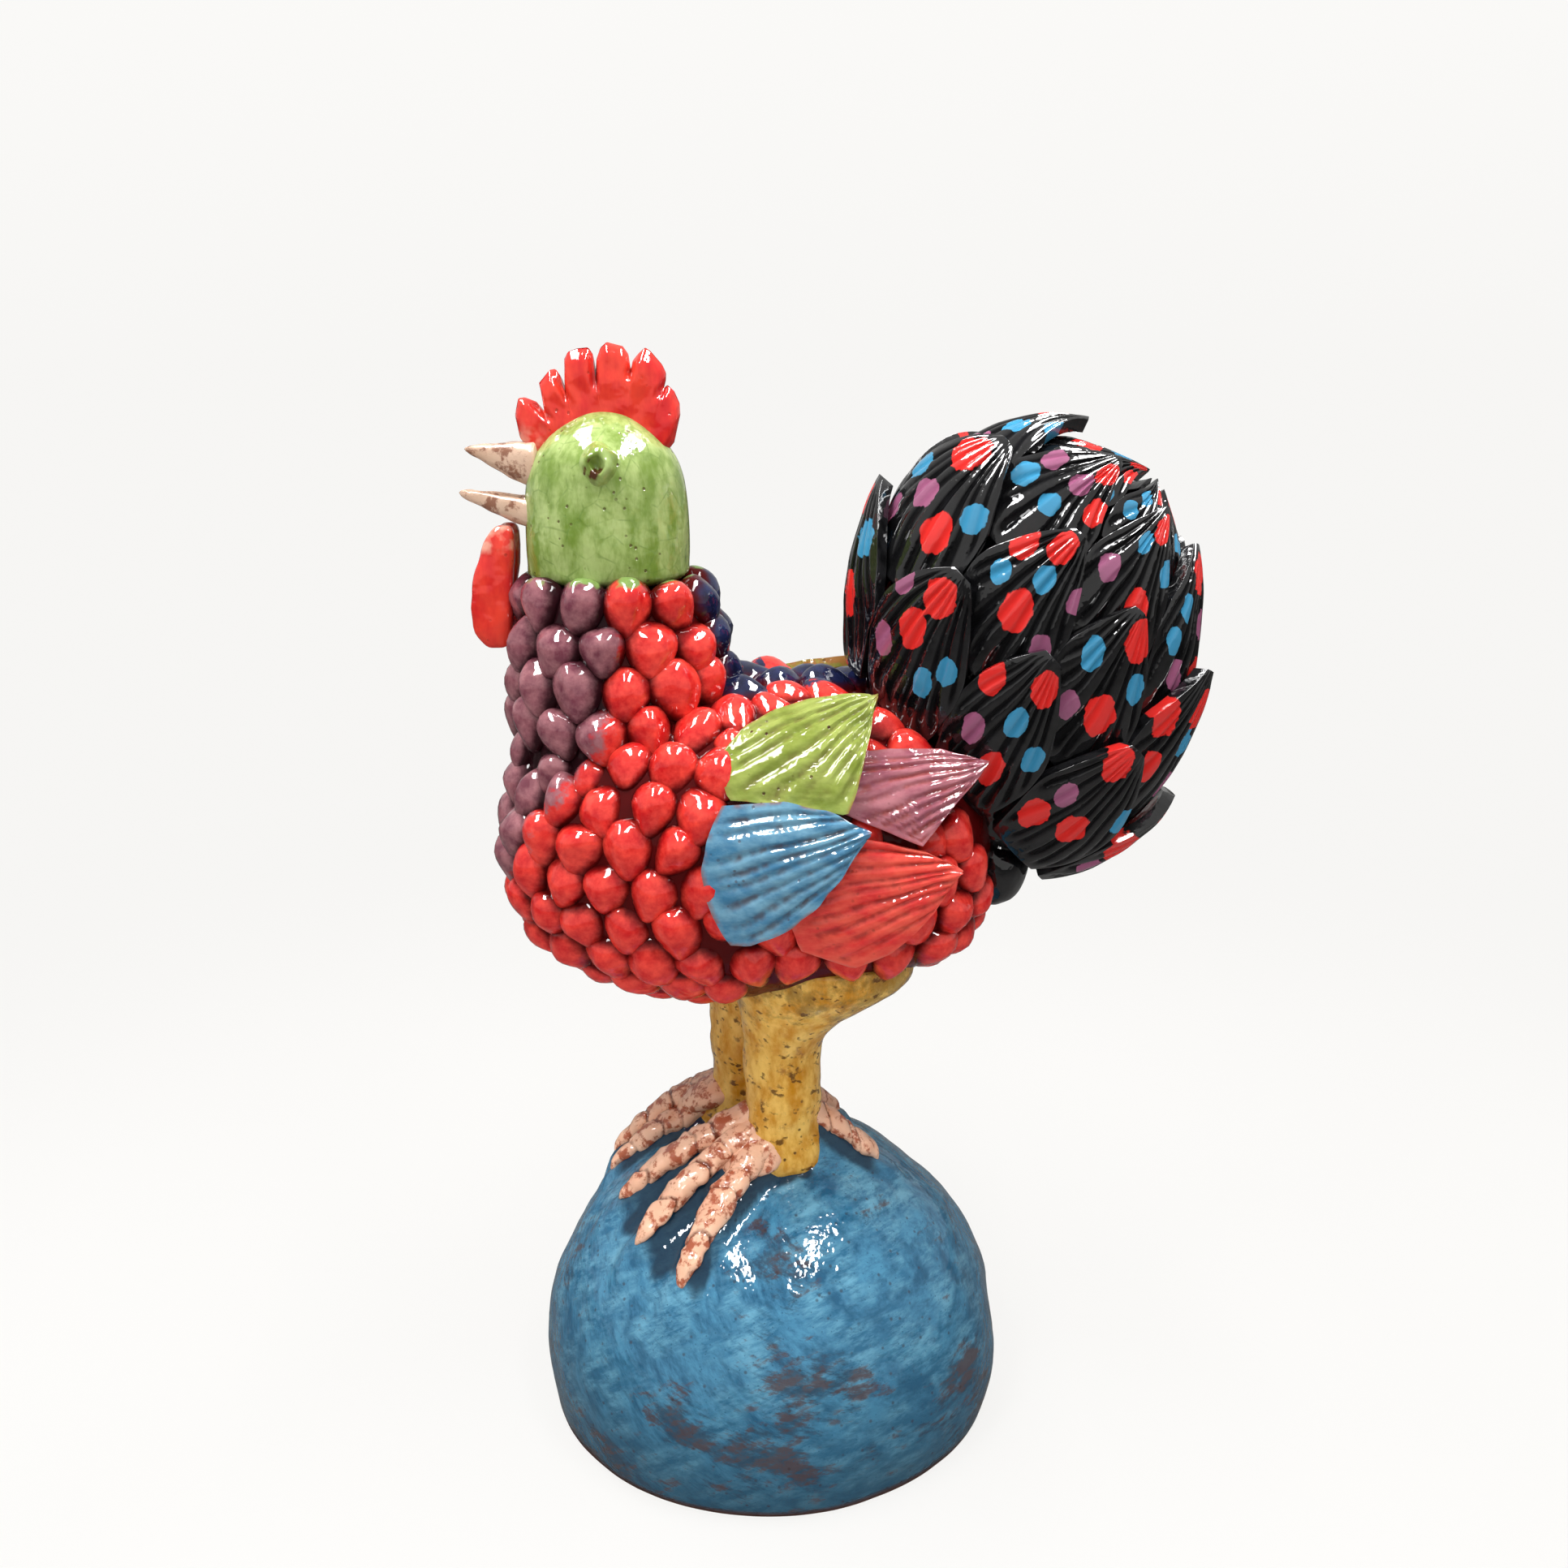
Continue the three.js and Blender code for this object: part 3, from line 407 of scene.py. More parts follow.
def toe_ridges(x, y):
    """Distance in plan, height, and way past the tip, of the ridges under toes, nearest first."""
    found = []
    for side, start in leg_places.items():
        for way, reach, root_rise, tip_rise in toes(side):
            gap = Vector((x, y)) - start
            along = gap.dot(heading(way))
            run = min(max(along, ridge_start), reach + ridge_past_tip[side] - ridge_end)
            rise = ridge_rise + toe_slope(min(1, run / reach), root_rise, tip_rise)
            found.append(((gap - heading(way) * run).length, rise, along - reach))
    return sorted(found)


print("toes:", {side: len(toes(side)) for side in leg_places})

# %% Spin the dome
dome_foot_radius = 56
dome_wall = 8


def dome_line(inset):
    """Knots (radius, height) from the crown down to the foot."""
    arc_steps, foot_steps = 44, 5
    high = dome_height - dome_shoulder - inset
    line = []
    for i in range(arc_steps + 1):
        a = pi / 2 * (1 - i / arc_steps)
        line.append(((dome_radius - inset) * cos(a), dome_shoulder + high * sin(a)))
    for i in range(1, foot_steps + 1):
        t = i / foot_steps
        r = dome_radius - (dome_radius - dome_foot_radius) * t ** 1.6
        line.append((r - inset, dome_shoulder * (1 - t)))
    return line


def spun(knots, steps):
    """Spin a line of (radius, height) knots around Z and close its poles."""
    bm = bmesh.new()
    points = [bm.verts.new((r, 0, h)) for r, h in knots]
    edges = [bm.edges.new(pair) for pair in zip(points, points[1:])]
    bmesh.ops.spin(bm, geom=points + edges, cent=(0, 0, 0), axis=(0, 0, 1), angle=2 * pi,
                   steps=steps, use_merge=True)
    bmesh.ops.remove_doubles(bm, verts=bm.verts, dist=0.005)
    return bm


dome_bm = spun(dome_line(0) + dome_line(dome_wall)[::-1], 192)
bmesh.ops.translate(dome_bm, verts=dome_bm.verts, vec=(0, dome_y, 0))
print("dome points:", len(dome_bm.verts))

# %% Press the dome
inner_share = 0.93
foot_level = 0.5
ridge_level = 30
pool_and_shade_mark, inside_mark = mark(dome_bm, "pool_and_shade"), mark(dome_bm, "inside")
shell_middle = Vector((0, dome_y, dome_shoulder))
for v in dome_bm.verts:
    out = v.co - shell_middle
    if (out / dome_radius).length <= inner_share and v.co.z >= foot_level:
        v[inside_mark] = 1
        continue
    ridge = 0
    press = dented(v.co, (1.1, 24, 1), (0.45, 10, 2), (0.16, 4.5, 3))
    if v.co.z > ridge_level:
        ridges = toe_ridges(v.co.x, v.co.y)
        ridge = max(rise * (1 - soft_step(2.2, 4.4 + 0.4 * rise, gap)) for gap, rise, _ in ridges)
        # Painted shade and gathered glaze: the valleys between and beside the toes and the hollow between
        # the feet are marked for a dark navy
        between = 1 - soft_step(9, 13, ridges[1][0])
        beside = 0.75 * (1 - soft_step(4, 6, ridges[0][0]))
        painted_hollow_shade = exp(-((v.co.x + 15) / 12) ** 2 - ((v.co.y + 1) / 8) ** 2)
        pool_and_shade = max(between, beside) * (1 - soft_step(-4, 2, ridges[0][2]))
        v[pool_and_shade_mark] = max(pool_and_shade, painted_hollow_shade) * (0.75 + 0.4 * lumps(v.co, 6, 4))
    foot = soft_step(0, 3, v.co.z)
    v.co += out.normalized() * press * (0.35 + 0.65 * foot) + Vector((0, 0, ridge))
    v.co.z = max(0, v.co.z) if foot > 0 else 0
print("points inside the dome:", sum(v[inside_mark] > 0 for v in dome_bm.verts))

# %% [markdown]
# The dome's blue glaze is brushed on in slanting strokes and lies so thin in places that the
# brown clay shows through. A noise that is turned and drawn out gives strokes, a finer one the
# scratches of the brush, and a coarse one the worn patches, mostly low down. Fine dark specks are
# iron in the clay. The blue is painted darker towards the foot of the dome as painted shade.
# Around the toes and in the hollow between the feet it is painted nearly navy, partly glaze
# gathered there and partly painted shade, as a point attribute marks. The foot and the inside
# are bare clay.

# %% Dome glaze
def dome_glaze():
    stuff = bpy.data.materials.new("turquoise brushed glaze on red clay")
    node, shader, place = opened(stuff)

    def strokes(wide, tall, turns, detail, roughness, shift=(0, 0, 0)):
        drawn = node("Mapping", {"Vector": place, "Scale": (wide * mm, wide * mm, tall * mm),
                                 "Rotation": (*turns, 0), "Location": shift},
                     vector_type="TEXTURE")
        return node("TexNoise", {"Vector": drawn, "Scale": 1, "Detail": detail,
                                 "Roughness": roughness})

    cloud = node("TexNoise", {"Vector": place, "Scale": every(9), "Detail": 3})
    cloud = node("MapRange", {0: cloud, 1: 0.42, 2: 0.58})
    paints = []
    for wide, slant, dark, light in ((13, 0.55, "#22597b", "#4a8bad"),
                                     (10, -0.4, "#2a678a", "#64a1bd")):
        stroke = strokes(wide, 3, (slant, slant), 7, 0.7)
        share = node("MapRange", {0: stroke, 1: 0.4, 2: 0.6})
        paints.append(node("Mix", {0: share, 6: ink(dark), 7: ink(light)}, **colours))
    coat = node("Mix", {0: cloud, 6: paints[0], 7: paints[1]}, **colours)
    scratch = strokes(5, 1.2, (0.3, 0.25), 4, 0.7)
    scratched = node("MapRange", {0: scratch, 1: 0.5, 2: 0.66, 4: 0.5})
    height = node("SeparateXYZ", {0: place}, out="Z")
    # Painted shade: the blue turns darker towards the foot of the dome
    painted_low_shade = node("MapRange", {0: height, 1: 0.002, 2: 0.048, 3: 0.75, 4: 0})
    worn = strokes(34, 13, (0.2, 0.2), 7, 0.6, shift=(0.031, 0.017, 0.004))
    low = node("MapRange", {0: height, 1: 0, 2: 0.055, 3: 0.065, 4: -0.045})
    torn = node("MapRange", {0: scratch, 3: -0.15, 4: 0.15})
    for more in low, torn:
        worn = node("Math", {0: worn, 1: more}, operation="ADD")
    thin = node("MapRange", {0: worn, 1: 0.54, 2: 0.63, 4: 0.72}, **softly)
    brown = node("Math", {0: worn, 1: stroke}, operation="ADD")
    brown = node("MapRange", {0: brown, 1: 1.08, 2: 1.2, 4: 0.65}, **softly)
    layers = [(scratched, "#1f5270"), (painted_low_shade, "#24465a"), (thin, "#2b3b4b"), (brown, "#4f3a36")]
    # Iron specks and pinholes, under a millimetre, in some of the cells
    for size, code in (1.1, "#1d4a66"), (2.4, "#33292b"):
        cells = node("TexVoronoi", {"Vector": place, "Scale": every(size)})
        speck = node("MapRange", {0: cells, 1: 0.1, 2: 0.22, 3: 0.6, 4: 0})
        chosen = node("SeparateColor", {0: cells.node.outputs["Color"]})
        chosen = node("MapRange", {0: chosen, 1: 0.6, 2: 0.62})
        layers.append((node("Math", {0: speck, 1: chosen}, operation="MULTIPLY"), code))
    # Gathered glaze and painted shade: nearly navy around the toes and in the hollow between the feet
    pool_and_shade, inside = [node("Attribute", out="Fac", attribute_name=n) for n in ("pool_and_shade", "inside")]
    pool_and_shade = node("MapRange", {0: pool_and_shade, 1: 0.1, 2: 0.55, 4: 0.92}, **softly)
    foot = node("MapRange", {0: height, 1: 0.0004, 2: 0.0018, 3: 1, 4: 0})
    bare = node("Math", {0: foot, 1: inside}, operation="MAXIMUM")
    for share, code in layers + [(pool_and_shade, "#0b2a40"), (bare, "#5a352a")]:
        coat = node("Mix", {0: share, 6: coat, 7: ink(code)}, **colours)
    gloss = node("MapRange", {0: bare, 3: 0.06, 4: 0.7})
    ripple = node("TexNoise", {"Vector": place, "Scale": every(2.2), "Detail": 1.5})
    bump = node("Bump", {"Height": ripple, "Strength": 0.48, "Distance": 0.6 * mm})
    fill(shader, {"Base Color": coat, "Normal": bump, "Roughness": gloss, "IOR": 1.5})
    return stuff


finished(dome_bm, "dome", dome_glaze(), "dome_blue_glaze", "base_dome")

# %% [markdown]
# ## Legs
# Each leg is a thick roll of clay, pressed on to the dome below and smeared wide into the belly
# above, further backwards than forwards. A ball with many rings is drawn out into that roll: the
# ring number gives the height, and the radius grows towards the belly.

# %% Leg shape
belly = 107.5
leg_radius = 9.4
leg_sink = 6
leg_top = belly + 16
thigh_start, thigh_end = belly - 17, belly + 9
thigh_back = 3.4
thigh_side = 1.9
thigh_front = 1.35


def leg(side):
    at = leg_places[side]
    low = dome_height_at(*at) - leg_sink

    def rule(co):
        t, a = roll_place(co)
        level = leg_top - t * (leg_top - low)
        cap = min(1, sin(t * pi) * 6)
        flare = soft_step(thigh_start, thigh_end, level)
        back, front = max(0, cos(a)) ** 1.2, max(0, -cos(a))
        full = thigh_side + (thigh_back - thigh_side) * back + (thigh_front - thigh_side) * front
        grow = 1 + (full - 1) * flare ** 1.5
        foot = 1 + 0.1 * soft_step(low + 14, low + 5, level)
        lobe = max(0, cos(a - foot_ways[side])) ** 3
        foot += 0.55 * lobe * exp(-((level - low - 7) / 4.5) ** 2)
        out = heading(a).to_3d()
        p = Vector((at.x, at.y, level)) + out * leg_radius * cap * grow * foot
        return p + out * dented(p, (0.8, 9, 4), (0.35, 3.5, 5)) * cap

    return pressed_ball(48, 64, rule)


# %% [markdown]
# The ochre glaze of the legs has an olive band under the belly, red-brown stains, and swarms of
# pits and short scratches where it crawled back from the clay.

# %% Leg glaze
def leg_glaze():
    stuff = glaze("ochre brushed glaze", "#c98719", "#f8cb68", pit="#5a3812", streak=(4, 4, 7),
                  pits=0.9, rough=0.08)
    node, shader, place = opened(stuff)
    coat = shader.inputs["Base Color"].links[0].from_socket
    stain = node("TexNoise", {"Vector": place, "Scale": every(6), "Detail": 6, "Roughness": 0.7})
    rust = node("MapRange", {0: stain, 1: 0.6, 2: 0.68, 4: 0.6})
    height = node("SeparateXYZ", {0: place}, out="Z")
    band = node("MapRange", {0: height, 1: 0.094, 2: 0.112, 3: -0.2, 4: 0.08})
    band = node("Math", {0: band, 1: stain}, operation="ADD")
    band = node("MapRange", {0: band, 1: 0.5, 2: 0.62, 4: 0.6})
    drawn = node("Mapping", {"Vector": place, "Scale": [every(s) for s in (2.2, 2.2, 1.5)],
                             "Rotation": (0, 0.6, 0)})
    hole = node("TexNoise", {"Vector": drawn, "Scale": 1, "Detail": 3})
    hole = node("MapRange", {0: hole, 1: 0.57, 2: 0.63, 4: 0.85})
    swarm = node("TexNoise", {"Vector": place, "Scale": every(4.5), "Detail": 2})
    swarm = node("MapRange", {0: swarm, 1: 0.48, 2: 0.56})
    hole = node("Math", {0: hole, 1: swarm}, operation="MULTIPLY")
    for share, code in (band, "#7d6428"), (rust, "#8a4a22"), (hole, "#55300f"):
        coat = node("Mix", {0: share, 6: coat, 7: ink(code)}, **colours)
    fill(shader, {"Base Color": coat})
    return stuff


ochre_glaze = leg_glaze()
for side in leg_places:
    finished(leg(side), f"{side}_leg_roll", ochre_glaze, "leg_ochre_glaze", f"{side}_leg")

# %% [markdown]
# ## Feet
# The toes were left bare: pale pink clay with a thin red-brown wash that stays in the cuts the
# potter scored across each toe. Each toe is a ball drawn out into a tapering roll that follows
# the dome, with narrow cuts at uneven distances. The palm is a flat pad between them.

# %% Foot shapes
toe_width = 8
toe_rise = 5.4
toe_lift = 3
toe_cut_depth = 0.8
palm_radius = 9.4
palm_lift = 1.6


def draw_toe(bm, side, toe, seed):
    scored = mark(bm, "cut")
    made = ball(bm, 24, 96)
    chance = random.Random(seed)
    cuts = [(0.45 + 0.17 * k + chance.uniform(-0.07, 0.07), chance.uniform(0.45, 1))
            for k in range(3)]
    way, reach, root_rise, tip_rise = toe
    ahead = heading(way)
    side_way = Vector((-ahead.y, ahead.x))
    for v in made:
        t, a = roll_place(v.co)
        tip = 1 if t < 0.72 else sqrt(max(0, 1 - ((t - 0.72) / 0.28) ** 2))
        root = min(1, sin(min(t, 0.5) * pi) * 5)
        wide = toe_width / 2 * tip * root * (1.06 - 0.2 * t)
        tall = toe_rise * 0.62 * tip ** 0.6 * root * (1.15 - 0.25 * t)
        slant = t + 0.035 * cos(a) + 0.02 * lumps(Vector((t * 9, a, seed)), 1)
        cut = sum(d * exp(-((slant - c) / 0.012) ** 2) for c, d in cuts)
        mid = leg_places[side] + ahead * t * reach
        plan = mid + side_way * wide * cos(a)
        level = dome_height_at(mid.x, mid.y) + toe_lift + toe_slope(t, root_rise, tip_rise)
        p = Vector((plan.x, plan.y, level + tall * sin(a)))
        out = Vector((side_way.x * cos(a), side_way.y * cos(a), sin(a)))
        press = dented(p, (1, 5, 6), (0.55, 2.4, 7)) - toe_cut_depth * cut
        v[scored] = min(1, cut)
        v.co = p + out * press * min(1, 3 * tip * root)


def front_foot(side):
    bm = bmesh.new()
    for k, toe in enumerate(toes(side)[:3]):
        draw_toe(bm, side, toe, 10 * len(side) + k)
    at = leg_places[side] + heading(foot_ways[side]) * palm_radius

    def rule(co):
        x = at.x + palm_radius * 1.02 * co.x
        y = at.y + palm_radius * 1.02 * co.y
        lift = foot_lift[side] + toe_root_rise[side] * (0.75 - 0.35 * hypot(co.x, co.y))
        p = Vector((x, y, dome_height_at(x, y) + palm_lift + lift + toe_rise * 0.85 * co.z))
        return p + co * dented(p, (0.6, 5, 6), (0.3, 2.2, 7))

    shaped(ball(bm, 40, 24), rule)
    return bm


def spur(side):
    bm = bmesh.new()
    draw_toe(bm, side, back_toe, 40 + len(side))
    return bm


# %% [markdown]
# The unglazed clay is fired hard, so it still shines a little, with a grain of fine grit. The
# wash is a watery brown that ran into hollows, so it follows a blotchy noise and the cuts.

# %% Bare clay material
def bare_clay(name, pale, mid, wash, blotch, amount):
    stuff = bpy.data.materials.new(name)
    node, shader, place = opened(stuff)
    cloud = node("TexNoise", {"Vector": place, "Scale": every(7), "Detail": 3})
    coat = node("Mix", {0: cloud, 6: ink(pale), 7: ink(mid)}, **colours)
    stain = node("TexNoise", {"Vector": place, "Scale": every(blotch), "Detail": 5,
                              "Roughness": 0.65})
    share = node("MapRange", {0: stain, 1: 0.62 - amount, 2: 0.74 - amount, 4: 0.9}, **softly)
    cut = node("Attribute", out="Fac", attribute_name="cut")
    cut = node("Math", {0: cut, 1: stain}, operation="MULTIPLY")
    cut = node("MapRange", {0: cut, 1: 0.12, 2: 0.4, 4: 0.9})
    for share, code in (share, wash), (cut, "#6a2f1c"):
        coat = node("Mix", {0: share, 6: coat, 7: ink(code)}, **colours)
    grit = node("TexNoise", {"Vector": place, "Scale": every(0.9), "Detail": 3})
    bump = node("Bump", {"Height": grit, "Strength": 0.35, "Distance": 0.3 * mm})
    fill(shader, {"Base Color": coat, "Normal": bump, "Roughness": 0.16, "IOR": 1.5})
    return stuff


toe_clay = bare_clay("bare pink clay with brown wash", "#fcd6b8", "#eba987", "#a84c2c", 3, 0.14)
for side in leg_places:
    finished(front_foot(side), f"{side}_foot_clay", toe_clay, "foot_bare_clay", f"{side}_foot")
    finished(spur(side), f"{side}_spur_clay", toe_clay, "foot_bare_clay", f"{side}_back_toe")

# %% [markdown]
# ## Torso and neck under the pellets
# The torso is a full egg lying along X and the neck is a column that swells into the breast.
# They only show in the gaps, where the glaze ran together and shade falls, and the pellet glaze
# paints them almost black as gathered glaze and painted shade, so a ball pressed into each shape
# is enough.

# %% Torso and neck
torso_middle = Vector((-3, 0, 144))
torso_half = Vector((56, 37, 36.5))
torso_fullness = 2.4
neck_top = 206
neck_height = 62
neck_x = -34
neck_lean = 5
neck_top_radius = 18.6
neck_root_radius = 28.5


def times(a, b):
    return Vector((a.x * b.x, a.y * b.y, a.z * b.z))


def torso_point(way, lift=0):
    full = sum(abs(c) ** torso_fullness for c in way) ** (-1 / torso_fullness)
    return torso_middle + times(torso_half + Vector((lift, lift, lift)), way) * full


def torso_share(p, lift=0):
    gap = p - torso_middle
    return sum((abs(gap[i]) / (torso_half[i] + lift)) ** torso_fullness for i in range(3))


def torso_normal(p):
    e = torso_fullness - 1
    steep = [math.copysign((abs(gap) / half) ** e, gap) / half
             for gap, half in zip(p - torso_middle, torso_half)]
    return Vector(steep).normalized()


def neck_middle(z):
    return neck_x + neck_lean * (neck_top - z) / neck_height


def neck_radius(z):
    t = min(1, max(0, (neck_top - z) / neck_height))
    return neck_top_radius + (neck_root_radius - neck_top_radius) * t ** 0.75


def in_neck(p, lift=0):
    if p.z > neck_top or p.z < torso_middle.z:
        return False
    return hypot(p.x - neck_middle(p.z), p.y) < neck_radius(p.z) + lift


def neck_rule(co):
    t, a = roll_place(co)
    level = neck_top - t * neck_height
    r = neck_radius(level) * min(1, sin(t * pi) * 8)
    return Vector((neck_middle(level) + r * cos(a), r * sin(a), level))


cores = {"body": pressed_ball(64, 48, lambda way: torso_point(way, 1)),
         "neck": pressed_ball(48, 48, neck_rule)}
print("core points:", {owner: len(core.verts) for owner, core in cores.items()})

# %% [markdown]
# ## Where the pellets sit
# The pellets stand in level courses around neck and torso together, each course shifted by half
# a pellet against the one above. On the flat back and belly, where level courses lie far apart,
# the gaps are filled afterwards. Nothing sits under the wings, the tail or the legs, so the
# outlines of the wing feathers come first: X along the bird, and the way up around the flank.

# %% Wing outlines
wing_middle = torso_half.y + 4
wings = {
    "blue": dict(top=[(-8.7, 18.7), (4.5, 19.2), (12.7, 17.4), (21.4, 13.7)],
                 bottom=[(-7.4, -12.4), (-3.2, -12.1), (6.3, -7.2), (11.3, -1.9), (17, 6.8),
                         (21.2, 12.9)], front=-13, bow=5, over=20, stack=1),
    "green": dict(top=[(-8.1, 31), (-4, 36), (2, 39.6), (9, 41.8), (16.5, 42.8), (24, 42)],
                  bottom=[(-7, 19.9), (4.5, 18.4), (17.2, 16.5), (20.6, 25.9), (23.8, 41)],
                  front=-8, bow=1.5, over=26, stack=0.5),
    "red": dict(top=[(8, 9), (20.9, 11.7), (33.8, 9.2), (39.8, 4.9)],
                bottom=[(7.8, -15.5), (18.9, -19.3), (26.4, -15.3), (34.9, -5.6), (39.6, 4.2)],
                front=7, bow=2.5, over=20, stack=0),
    "mauve": dict(top=[(18, 30.4), (26.4, 31.5), (37.4, 31.7), (46.4, 29.4)],
                  bottom=[(16.5, 17.2), (33.2, 9.8), (36, 14.3), (42.7, 23), (46.2, 28.4)],
                  front=17, bow=1.5, over=26, stack=-0.6),
}


def on_line(line, share):
    """The point after that share of the length of a line of points."""
    points = [Vector(p) for p in line]
    steps = [(b - a).length for a, b in zip(points, points[1:])]
    left = share * sum(steps)
    for a, b, step in zip(points, points[1:], steps):
        if left <= step:
            return a.lerp(b, left / step)
        left -= step
    return points[-1]


def in_outline(outline, x, h):
    inside = False
    for (ax, ah), (bx, bh) in zip(outline, outline[1:] + outline[:1]):
        if (ah > h) != (bh > h) and x < ax + (h - ah) / (bh - ah) * (bx - ax):
            inside = not inside
    return inside


def under_wing(p, margin):
    h = wing_middle * math.atan2(p.z - torso_middle.z, abs(p.y))
    around = [(margin * cos(k), margin * sin(k)) for k in range(7)]
    outlines = [f["top"] + f["bottom"][::-1] for f in wings.values()]
    return any(in_outline(o, p.x + dx, h + dh) for o in outlines for dx, dh in around)


print("wing feathers on a side:", list(wings))

# %% Room for the pellets
pellet_width = 10.2
pellet_length = 13
pellet_rise = 6.6
pellet_fullness = 2.5
pellet_pitch = 10.7
course_pitch = 9
first_course = neck_top - 4.45
anchor_x = -30
tail_middle = Vector((58, 0, 184))
tail_half = Vector((35, 22, 48.5))


def in_tail(p, lift):
    gap = p - tail_middle
    return sum((gap[i] / (tail_half[i] + lift)) ** 2 for i in range(3)) < 1


def near_leg(p):
    if p.z > torso_middle.z:
        return False
    for at in leg_places.values():
        gap = Vector((p.x, p.y)) - at
        reach = leg_radius * (thigh_back if gap.x > 0 else 1.3)
        if hypot(gap.x / (reach + 3), gap.y / (leg_radius * thigh_side + 2)) < 1:
            return True
    return False


print("pellet", pellet_width, "by", pellet_length, "mm, set", pellet_pitch, "mm apart")


# %% Skin of torso and neck
def on_neck(p):
    return torso_share(p, 0.5) >= 1 and in_neck(p, 0.5)


def side_reach(z):
    k = 1 - (abs(z - torso_middle.z) / torso_half.z) ** torso_fullness
    flank = torso_half.y * k ** (1 / torso_fullness) if k > 0 else 0
    return max(flank, neck_radius(z)) if torso_middle.z < z < neck_top else flank


def skin_ring(z):
    """Where torso and neck together end at that height, in each of 360 directions."""
    on_torso = z < torso_middle.z + torso_half.z - 1.5
    start_x = torso_middle.x - torso_half.x * 0.28 if on_torso else neck_middle(z)
    start = Vector((start_x, 0, z))
    ring = []
    for turn in range(360):
        way = heading(radians(turn)).to_3d()
        low, high = 0, 2 * torso_half.x
        for _ in range(20):
            half = (low + high) / 2
            p = start + way * half
            if torso_share(p) < 1 or in_neck(p):
                low = half
            else:
                high = half
        ring.append(start + way * low)
    return ring


def set_pellet(at, apart, size=1, margin=2):
    """Set a pellet where there is room for it."""
    if in_tail(at, 5) or under_wing(at, margin) or near_leg(at):
        return
    if any((at - other["at"]).length < pellet_pitch * apart for other in pellets):
        return
    out = torso_normal(at)
    if on_neck(at):
        out = Vector((at.x - neck_middle(at.z), at.y, neck_radius(at.z) * 0.2)).normalized()
    back = soft_step(-20, 25, at.x) * soft_step(-0.2, 0.7, out.z)
    flow = Vector((back * 1.4 + 0.02, 0, back * 0.4 - 1))
    flow = (flow - out * flow.dot(out)).normalized()
    owner = "neck" if on_neck(at) else "body"
    pellets.append(dict(owner=owner, at=at, out=out, flow=flow, size=size))


# %% Pellet places
pellets = []
z = first_course
course = 0
while side_reach(z) > pellet_pitch / 2:
    ring = skin_ring(z)
    runs = [0]
    for i in range(360):
        runs.append(runs[-1] + (ring[i] - ring[(i + 1) % 360]).length)
    for low in (180, 0):
        start, end = runs[low], runs[low + 180]
        flank = min(range(low, low + 180), key=lambda i: abs(ring[i].x - anchor_x))
        goal = runs[flank] + course % 2 / 2 * pellet_pitch
        goal -= pellet_pitch * math.floor((goal - start) / pellet_pitch)
        while goal < end:
            set_pellet(ring[next(i for i, run in enumerate(runs) if run >= goal) % 360], 0.78)
            goal += pellet_pitch
    for p in ring[::3]:
        set_pellet(p, 0.84)
    run = 0
    while run < course_pitch and z > torso_middle.z - torso_half.z:
        run += hypot(0.2, side_reach(z) - side_reach(z - 0.2))
        z -= 0.2
    course += 1
torso_grid = []
for level in range(84, -85, -4):
    for turn in range(0, 360, 4):
        flat, a = cos(radians(level)), radians(turn)
        way = Vector((flat * cos(a), flat * sin(a), sin(radians(level))))
        torso_grid.append(torso_point(way))
torso_grid = [p for p in torso_grid if not in_neck(p, 2)]
for p in torso_grid:
    set_pellet(p, 0.84)
whole = len(pellets)
neck_grid = [p for z in range(150, 204, 3) for p in skin_ring(z)[::4]]
for p in torso_grid + neck_grid:
    set_pellet(p, 0.66, size=0.74, margin=0.3)
print("courses", course, "pellets", whole, "and small ones", len(pellets) - whole)

# %% [markdown]
# ## Pellets
# Each pellet was rolled into a drop and pressed on with the round end up, so it has a broad
# head, a narrower foot and flats where fingers pinched it. It starts as a ball of a few dozen
# faces whose poles are the head and the foot, a seeded nudge gives it its own flats, and one
# level of subdivision rounds it. Three point attributes tell the glaze how far the point stands
# out of the skin and where the mauve of the breast and the navy of the back reach.

# %% Fields of colour
collar_z = 178
breast_x, breast_slant = -33, 0.62
back_x, back_z, back_half_width = -16, 165, 9
nape_depth = 10


def mauve_field(p):
    """Positive on the breast: in front of a slanting line down the side of the neck."""
    border = breast_x - breast_slant * max(0, collar_z - p.z)
    return (border - p.x) / 8 + 0.5 * lumps(p, 14, 8)


def navy_field(p):
    """Positive along the back of the neck and the middle of the back."""
    behind = p.x - neck_middle(min(p.z, neck_top))
    if p.z > collar_z and p.x < 0:
        return (behind - nape_depth - abs(p.y) * 0.9) / 6
    return (back_half_width - abs(p.y)) / 6 if p.z > back_z and p.x > back_x else -2


print("mauve at the breast:", mauve_field(Vector((-65, 0, 160))))


